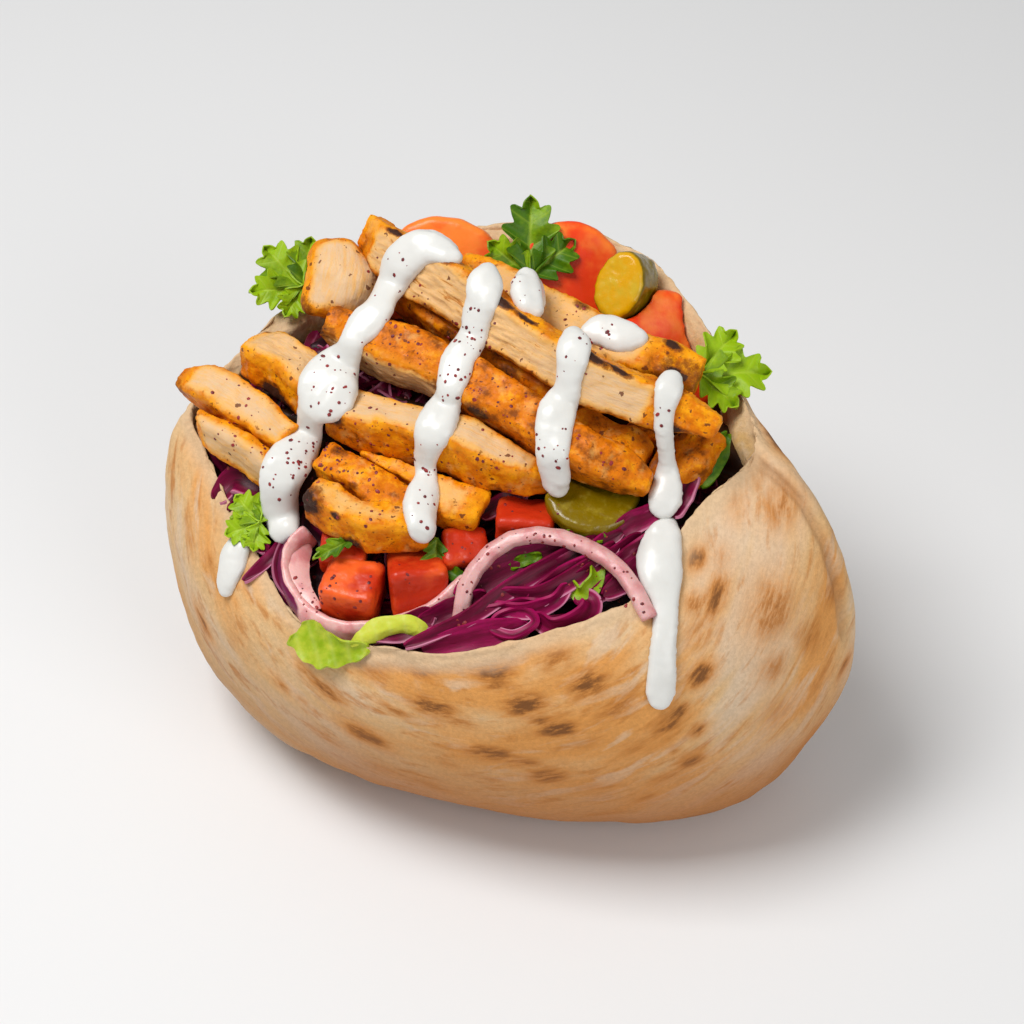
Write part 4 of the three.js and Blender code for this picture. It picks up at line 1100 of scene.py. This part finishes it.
# brightness: each shred's tone, with the painted shade of the meat over it, its streaks, and painted shade
# in its cupped middle that lightens towards its edges. Pale edges and streaks show only where it is lit.
brightness = plus(tree, shade, times(tree, plus(tree, streak, -0.5), 1.6))
brightness = plus(tree, brightness, times(tree, plus(tree, edge, -0.5), 0.8))
lit = step(tree, shade, -0.2, 0.4)
colour = laid_over(
    tree,
    CABBAGE_DARK,
    (CABBAGE_DEEP, brightness, -0.4, 0.3),
    (CABBAGE_BRIGHT, brightness, 0.3, 1.1),
    (CABBAGE_EDGE, times(tree, step(tree, streak, 0.66, 0.78, 0, 0.3), lit)),
    (CABBAGE_EDGE, times(tree, step(tree, edge, 0.76, 0.92, 0, 0.85), lit)),
    # Painted shadow: the core under the meat turns a near-black brown.
    (IN_THE_GAPS, shade, -0.3, -0.42),
)
connect(tree, shader, colour, streak, 0.15, 0.5)
for piece in (core, gather(shreds, "cabbage_shreds")):
    show(piece, "salad_heap", cabbage_finish)
    vegetables.append(piece)

# Green shreds: path, widths, roll, cup, and how light a green.
GREENS = [
    ([(20, -26, 0), (24, -29, 0.5), (26.5, -26, 1), (26, -21, 0.5)], [3, 4.8, 3], 20, 1, 0.7),
    ([(17, -17, 1.5), (20, -15.5, 2.5), (23.5, -15, 3), (27, -16, 2)], [2.4, 4.6, 2.6], 10, 1, 0.55),
    ([(-11, -23, -1), (-7, -26, -1), (-3, -27, -1.5)], [2, 3.4, 2], 0, 0.8, 0.2),
    ([(51, 13, 2.5), (50, 8.5, 3), (48.4, 4, 2), (46.5, 1, 0)], [2.4, 5, 5.6, 3], -15, 1, 0.3),
    ([(1, -19, -3), (5, -19, -2), (10, -17.5, -1.5)], [2, 3, 2], 0, 0.6, 0.3),
    ([(6, -24, 0.6), (9, -22.6, 1.2), (13, -21, 1.2)], [2, 3, 2], 0, 0.6, 0.35),
]


def leaf_green(name, dark, light, vein):
    """A fresh leaf's finish: two greens and a lighter vein."""
    finish, tree, shader = new_finish(
        name,
        Roughness=0.45,
        Specular_IOR_Level=0.25,
        Subsurface_Weight=0.05,
        Subsurface_Scale=MM,
    )
    veins = attribute(tree, "vein")
    blend = plus(tree, attribute(tree, "shade"), plus(tree, grain(tree, 3, 3), -0.5))
    colour = laid_over(tree, dark, (light, blend, 0.1, 0.9), (vein, times(tree, veins, 0.5)))
    connect(tree, shader, colour, calc(tree, "SUBTRACT", grain(tree, 1, 3), veins), 0.2, 0.6)
    return finish


green_finish = leaf_green(
    "green_shredded", dark=(0.03, 0.12, 0.001), light=(0.28, 0.42, 0.005), vein=(0.4, 0.5, 0.05)
)
green_strips = []
for path, widths, roll, cup, tone in GREENS:
    green_strips.append(sheet(over_mouth(path), widths, roll, cup, 0.4, tone, steps=20))
greens = gather(green_strips, "green_shreds")
greens.data.materials.append(green_finish)
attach(greens, "root")
vegetables.append(greens)


# ---------------------------------------------------------------- lettuce
# Two torn pieces of a light green lettuce leaf, tucked in with the salad, hang over the front of
# the rim. Each is a thin blade with faint veins, ruffled along one edge.

# For each piece: its path over the mouth, its widths, roll, cup, how light it is, and how ruffled.
LETTUCES = {
    "01": ([(-42, -40.5, -5), (-37.5, -43.5, -5.2), (-31, -45, -5), (-24, -44, -3.8)],
           [8, 11, 7, 4], 15, 0.9, 0.45, 0.12),
    "02": ([(-28, -45, -3), (-22.5, -42.5, -1), (-15, -40.5, -0.4), (-9, -43, -2.4)],
           [2, 5.6, 5, 1.6], 20, -1.6, 1.1, 0.06),
}
lettuce_finish = leaf_green(
    "lettuce_fresh", dark=(0.24, 0.38, 0.0), light=(0.56, 0.6, 0.05), vein=(0.72, 0.74, 0.28)
)
for number, (path, widths, roll, cup, tone, frill) in LETTUCES.items():
    piece = sheet(over_mouth(path), widths, roll, cup, 0.5, tone, steps=90, lanes=20, frill=frill)
    points, _ = points_of(piece)
    paint(piece, "vein", 0.25 * np.abs(np.sin(points[:, 0] * 0.8 + 0.5 * points[:, 1])) ** 12)
    relief(piece, 3, 0.7)
    piece.name = "leaf_of_lettuce_" + number
    show(piece, "lettuce_leaf_" + number, lettuce_finish)
    vegetables.append(piece)


# ---------------------------------------------------------------- coriander
# Fresh coriander leaves, laid round the heap and tucked among the tomato. Toothed leaflets spread
# from one stem, each a thin bent blade with fine veins.

# Half of a leaflet's outline from its foot to its tip: how far aside and how far ahead.
OUTLINE = [
    (0.02, 0), (0.1, 0.1), (0.3, 0.26), (0.36, 0.34), (0.22, 0.4), (0.3, 0.48), (0.42, 0.58), (0.4, 0.64),
    (0.25, 0.66), (0.28, 0.76), (0.3, 0.86), (0.24, 0.88), (0.14, 0.84), (0.1, 0.92), (0, 1),
]

# For each leaf: where its stem meets it, the way it faces, the way its tip points, its length, how
# light it is, and its leaflets, each a turn from the tip, a length and a breadth.
HERBS = {
    "01": ((-61, 43.8, 97.3), (0.1, 0.2, 1), (-0.6, 0.8), 15, 0.75, [
        (4, 1, 1), (56, 0.9, 0.95), (-46, 0.92, 0.95), (112, 0.6, 1.1)]),
    "02": ((-3.9, 49, 106.5), (0.1, -0.1, 1), (0.01, 1), 20, 0.3, [
        (0, 1, 0.85), (52, 0.68, 0.95), (-50, 0.72, 0.95)]),
    "03": ((42, 25, 103), (0.1, 0.3, 1), (1, 0.2), 18.5, 0.85, [
        (-4, 1, 0.85), (40, 0.84, 0.85), (-50, 0.66, 1)]),
    "04": ((-57, -17.5, 74.8), (0, 0.2, 1), (-0.6, 0.7), 9.5, 0.8, [
        (0, 1, 1.2), (66, 0.95, 1.2), (-60, 0.7, 1.2), (126, 0.75, 1.2)]),
    "05": ((-12.5, -20, 81), (-0.2, 0.3, 1), (-0.05, -1), 9.5, 0.35, [(0, 1, 0.9)]),
    "06": ((-31, -21.5, 80), (0.1, 0.3, 1), (-0.85, -0.45), 12.5, 0.35, [(0, 1, 0.45)]),
}
LEAF_THICK = 0.35
RIB_HALF_WIDTH = 0.28
VEIN_HALF_WIDTH = 0.22


def coriander(number, foot, out, tip, size, tone, leaflets):
    """A leaf of flat grids, each drawn to a leaflet's outline, bent, veined and thickened."""
    out = np.array(ACROSS * out[0] + RISE * out[1] + POUR * out[2])
    out /= np.linalg.norm(out)
    tip = np.array(ACROSS * tip[0] + RISE * tip[1])
    tip = tip - out * (tip @ out)
    tip /= np.linalg.norm(tip)
    side = np.cross(tip, out)
    blades = []
    for place, (turn, length, breadth) in enumerate(leaflets):
        bpy.ops.mesh.primitive_grid_add(x_subdivisions=14, y_subdivisions=72, size=2 * MM)
        blade = bpy.context.object
        flat, _ = points_of(blade)
        across, mark = flat[:, 0], (flat[:, 1] + 1) / 2
        rib = np.clip(1.12 * mark - 0.12, 0, 1)
        edge = smooth_path(OUTLINE, mark)
        ahead = (rib + (edge[:, 1] - rib) * np.abs(across)) * length
        aside = across * edge[:, 0] * length * breadth
        forward, sideways = swung(ahead, aside, turn), swung(aside, -ahead, turn)
        bend = 0.1 * np.abs(across) - 0.2 * (forward**2 + sideways**2)
        bend += 0.03 * np.sin(11 * mark + 2 * across) + 0.012 * place
        position = tip * forward[:, None] + side * sideways[:, None] + out * bend[:, None]
        move_points(blade, np.array(foot) + position * size)
        rib_vein = np.exp(-((aside * size / RIB_HALF_WIDTH) ** 2))
        from_vein = np.sin(mark * math.pi * 4 + 0.9) * size * 0.08
        side_vein = np.exp(-((from_vein / VEIN_HALF_WIDTH) ** 2)) * 0.5
        paint(blade, "vein", np.maximum(rib_vein, side_vein))
        lightness = tone + 0.2 * math.sin(place * 2.3)
        paint(blade, "shade", lightness + 0.35 * (mark - 0.6) + 0.12 * np.sign(across))
        edit_all(blade, bpy.ops.mesh.remove_doubles, threshold=WELD * MM)
        shape(blade, "SOLIDIFY", thickness=LEAF_THICK * MM, offset=0)
        bpy.ops.object.shade_smooth_by_angle(angle=CREASE)
        blades.append(blade)
    return gather(blades, "coriander_" + number)


coriander_finish = leaf_green(
    "coriander_fresh", dark=(0.05, 0.14, 0.001), light=(0.29, 0.46, 0.004), vein=(0.42, 0.56, 0.05)
)
leaves = []
for number, leaf in HERBS.items():
    piece = coriander(number, *leaf)
    show(piece, "herb_leaf_" + number, coriander_finish)
    leaves.append(piece)


# ---------------------------------------------------------------- yoghurt sauce
# Thick yoghurt poured back and forth over the heap: fat smooth trails that sag into the gaps, swell
# to round drops, and run down the bread at two places.

# A trail's places, across and up the plane it was poured through, and its half width there.
TRAILS = {
    "strand_1": [
        (-12.5, 112.5, 2.4), (-16, 115, 3.6), (-20, 115.5, 4.4), (-25, 112, 4.8), (-27.5, 107, 3.8),
        (-29.6, 103.4, 3.2), (-31, 99.8, 3.6), (-34, 96.5, 4.2), (-36.5, 93.4, 3), (-38, 90, 3.4),
        (-40.6, 86.6, 5.4), (-42.6, 82.6, 7.2), (-43.2, 79.2, 7), (-46.4, 76, 4), (-47.3, 72.8, 3),
        (-47.8, 69.8, 3.2), (-49.5, 66.7, 4.4), (-52.2, 63.6, 5.6), (-54, 60, 5.2), (-54.7, 56, 4.5),
        (-54.4, 52, 4.2), (-53.9, 48.5, 4), (-53.9, 45.8, 3.6),
    ],
    "strand_2": [
        (-4.4, 108.5, 3), (-5, 105.5, 4.4), (-5.3, 102.2, 4), (-6.8, 98.5, 3.5), (-7.3, 94.9, 3.3),
        (-8.6, 91.7, 3.5), (-11, 88.3, 3.7), (-12, 85.2, 4), (-12.9, 81.6, 3.3), (-13.6, 78.6, 3.1),
        (-15.3, 74.8, 4.3), (-17.2, 70.6, 4.6), (-18.3, 67, 3.3), (-19.2, 63.6, 2.6), (-19, 59.5, 2.5),
        (-19.7, 55.8, 4), (-20.2, 52.4, 4), (-19.9, 48.8, 3.4), (-19.3, 46, 3.3),
    ],
    "strand_3": [
        (5, 107.5, 3.2), (5.1, 104.4, 4), (6, 101.5, 3.6), (7, 98.8, 2.4),
    ],
    "strand_4": [
        (15.8, 92.5, 3.2), (16, 90, 4), (15.5, 86.4, 3.6), (14.8, 82.8, 2.8), (14.3, 79.4, 3.2),
        (12.4, 76.2, 4.3), (11.4, 72.3, 4.5), (11.1, 68.4, 4.1), (10.9, 64.6, 3.8), (11.7, 60.4, 3.3),
        (12.4, 56.8, 3.2),
    ],
    "strand_5": [
        (20, 94.2, 2.8), (23.4, 95, 3.8), (27, 93.6, 4.2), (31.4, 92.8, 3),
    ],
    "strand_6": [
        (38.6, 82, 3.3), (37.8, 79, 3.1), (37.1, 75.2, 2.3), (36.9, 71.4, 2.2), (37.4, 67.5, 1.9),
        (37.9, 63.8, 1.9), (38.1, 60.2, 2.7), (38, 56.6, 3.6), (37, 53.2, 4.2),
    ],
    "drip_right": [
        (38.2, 48, 2.8), (36.8, 45, 4.4), (36, 41.3, 5.2), (36.2, 37, 5.2), (36.8, 33.5, 4),
        (37.2, 29.9, 3), (37, 23.8, 2.9), (36.4, 17.7, 3.1), (36.2, 12, 3.4), (36, 7.5, 3.5),
    ],
    "drip_left": [
        (-64, 45, 2.4), (-65.6, 41.5, 3.2), (-66.2, 38.3, 3.3), (-67.4, 35, 2.4), (-67.7, 32, 2.2),
    ],
}
# What a trail's thickness is worked out from; how far apart its stations are; how far out its side
# lanes run, in half widths; how many stations its sag is spread over; and the most that it climbs or
# falls from one to the next.
SAUCE_DEPTH = 1.35
STATION = 0.8
SIDE_LANE = 0.42
SPAN = 11
STEEPEST = 0.6
GROUND = [pita] + chicken + vegetables
bpy.context.view_layer.update()


def floor_under(lane, spots, ahead):
    """How high a lane of a trail lies at each station. It sags into gaps but doesn't fill them."""
    floor = []
    for (across, up, half), (along_across, along_up) in zip(spots, ahead):
        heights = []
        for aside in (lane - 0.25) * half, lane * half, (lane + 0.25) * half:
            landing = pour_on(GROUND, across + aside * along_up, up - aside * along_across)
            if landing:
                heights.append(landing[1])
        floor.append(max(heights) if heights else np.nan)
    floor = np.array(floor)
    known = ~np.isnan(floor)
    if not known.any():
        return None
    stations = np.arange(len(floor))
    floor = np.interp(stations, stations[known], floor[known])
    padded = np.pad(floor, SPAN // 2, mode="edge")
    sag = np.convolve(padded, np.ones(SPAN) / SPAN, mode="valid")
    floor = np.maximum(sag, floor - 0.2)
    for index in range(1, len(floor)):
        floor[index] = max(floor[index], floor[index - 1] - STEEPEST)
    for index in range(len(floor) - 2, -1, -1):
        floor[index] = max(floor[index], floor[index + 1] - STEEPEST)
    return floor


def flat_drop(place, half_width, half_thick):
    """A drop of sauce at a place, flattened the way it was poured."""
    bpy.ops.mesh.primitive_uv_sphere_add(segments=14, ring_count=8, radius=MM, location=place * MM)
    drop = bpy.context.object
    drop.rotation_euler = Matrix((ACROSS, RISE, POUR)).transposed().to_euler()
    drop.scale = (half_width, half_width, half_thick)
    return drop


def sauce_trail(part, trail):
    """Overlapping flat drops in three lanes, each laid on what is under it, run together to one."""
    length = np.linalg.norm(np.diff(np.array(trail)[:, :2], axis=0), axis=1).sum()
    count = int(length / STATION) + 1
    spots = smooth_path(trail, np.linspace(0, 1, count))
    ahead = np.gradient(spots[:, :2], axis=0)
    ahead /= np.linalg.norm(ahead, axis=1)[:, None]
    drops = []
    for lane in (0, -SIDE_LANE, SIDE_LANE):
        floor = floor_under(lane, spots, ahead)
        if floor is None:
            continue
        if lane == 0:
            middle_floor = floor
        floor = np.clip(floor, middle_floor - 3, middle_floor + 1.5)
        trimmed = 0 if lane == 0 else 2
        last = None
        for index in range(trimmed, count - trimmed):
            across, up, half = spots[index]
            along_across, along_up = ahead[index]
            aside = lane * half
            thick = SAUCE_DEPTH * (0.75 + 0.05 * half)
            wide = half * (0.78 if lane == 0 else 0.54) + 0.3
            place = ACROSS * (across + aside * along_up) + RISE * (up - aside * along_across)
            place += POUR * (float(floor[index]) + 0.3 * thick)
            if last is not None and (place - last).length < 1.3:
                continue
            gap = 1 if last is None else max(1, int((place - last).length / 1.6))
            start = place if last is None else last
            for share in range(1, gap + 1):
                drops.append(flat_drop(start.lerp(place, share / gap), wide, thick))
            last = place
    take(*drops)
    bpy.ops.object.join()
    bpy.ops.object.transform_apply(location=True, rotation=True, scale=True)
    piece = bpy.context.object
    piece.name = "yoghurt_" + part
    even_out(piece, 0.5, 24, factor=0.6)
    swell(piece, 0.4)
    relief(piece, 6, 0.5)
    shade_soft(piece)
    return piece


YOGHURT_WHITE = (0.77, 0.765, 0.73)
YOGHURT_SHADE = (0.69, 0.68, 0.64)
sauce_finish, tree, shader = new_finish(
    "sauce_yoghurt",
    Roughness=0.28,
    Specular_IOR_Level=0.4,
    Subsurface_Weight=0.15,
    Subsurface_Scale=1.5 * MM,
    Subsurface_Radius=(1.0, 0.9, 0.8),
)
colour = laid_over(tree, YOGHURT_WHITE, (YOGHURT_SHADE, grain(tree, 6, 2)))
connect(tree, shader, colour, grain(tree, 2.5, 2), 0.15, 0.5)
trails = []
for part, trail in TRAILS.items():
    piece = sauce_trail(part, trail)
    show(piece, "sauce_" + part, sauce_finish)
    trails.append(piece)


# ---------------------------------------------------------------- sumac flakes
# Sumac: dried sour berries, crushed to coarse dark red flakes and shaken over the sauce, the meat
# and the onion by hand. They lie where they fell, most of them in loose patches.

# Where they fell: a place across and up the pour plane, a radius, and how many.
SHAKEN = [
    (-46.5, 65, 7, 45), (-51, 58, 6, 16), (-41, 82, 8, 26), (-8, 94, 6, 30), (-12, 82, 5, 16),
    (-18, 65, 5, 14), (-20, 52, 5, 10), (-27, 109, 7, 12), (4, 104, 4, 8), (21, 94, 5, 12),
    (15, 84, 4, 6), (12, 67, 6, 16), (37, 72, 4, 6), (-27, 90, 9, 26), (-3, 77, 8, 26),
    (-27, 73, 10, 26), (-3, 61, 6, 16), (-34, 58, 10, 30), (-63, 67, 8, 28), (-66, 77, 8, 8),
    (-40, 31, 6, 18), (-27, 36, 6, 12), (-10, 41, 4, 12), (17, 99, 3, 8), (24, 63, 4, 10),
    (-20, 104, 4, 8), (5, 44, 14, 22), (24, 38, 8, 12), (-48, 32, 5, 16), (-10, 30, 6, 8),
    (-9, 35, 3.5, 8), (-2, 41, 3.5, 8), (7, 43.5, 3.5, 10), (17, 41.5, 3.5, 9), (25, 35.5, 3.5, 8),
    (30, 30, 3, 5),
]
WHOLE = GROUND + leaves + trails
bpy.context.view_layer.update()
bpy.ops.mesh.primitive_ico_sphere_add(subdivisions=1, radius=1)
pattern = bpy.context.object
chip = np.array([tuple(vertex.co) for vertex in pattern.data.vertices])
chip_faces = [tuple(face.vertices) for face in pattern.data.polygons]
bpy.data.objects.remove(pattern)

dice = random.Random(11)
corners, faces = [], []
for across, up, radius, count in SHAKEN:
    for _ in range(count):
        way, far = dice.uniform(0, 2 * math.pi), radius * math.sqrt(dice.random())
        landing = pour_on(WHOLE, across + far * math.cos(way), up + far * math.sin(way))
        if not landing:
            continue
        place, _, normal = landing
        turned = normal.to_track_quat("Z", "Y").to_matrix() @ Matrix.Rotation(dice.uniform(0, 6), 3, "Z")
        size = dice.uniform(0.36, 0.74) ** 2
        stretched = chip * (size * dice.uniform(0.8, 1.5), size, size * 0.45)
        first = len(corners)
        corners += [tuple(np.array(place) + row) for row in stretched @ np.array(turned).T]
        faces += [tuple(first + corner for corner in face) for face in chip_faces]
flakes_mesh = bpy.data.meshes.new("sumac_flakes")
flakes_mesh.from_pydata([tuple(MM * value for value in corner) for corner in corners], [], faces)
flakes = bpy.data.objects.new("sumac_flakes", flakes_mesh)
scene.collection.objects.link(flakes)

SUMAC_DARK = (0.12, 0.008, 0.012)
SUMAC_RED = (0.3, 0.02, 0.018)
flakes_finish, tree, shader = new_finish("sumac_dry", Roughness=0.5)
connect(tree, shader, laid_over(tree, SUMAC_DARK, (SUMAC_RED, grain(tree, 1.2, 1), 0.4, 0.6)))
flakes.data.materials.append(flakes_finish)
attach(flakes, "root")
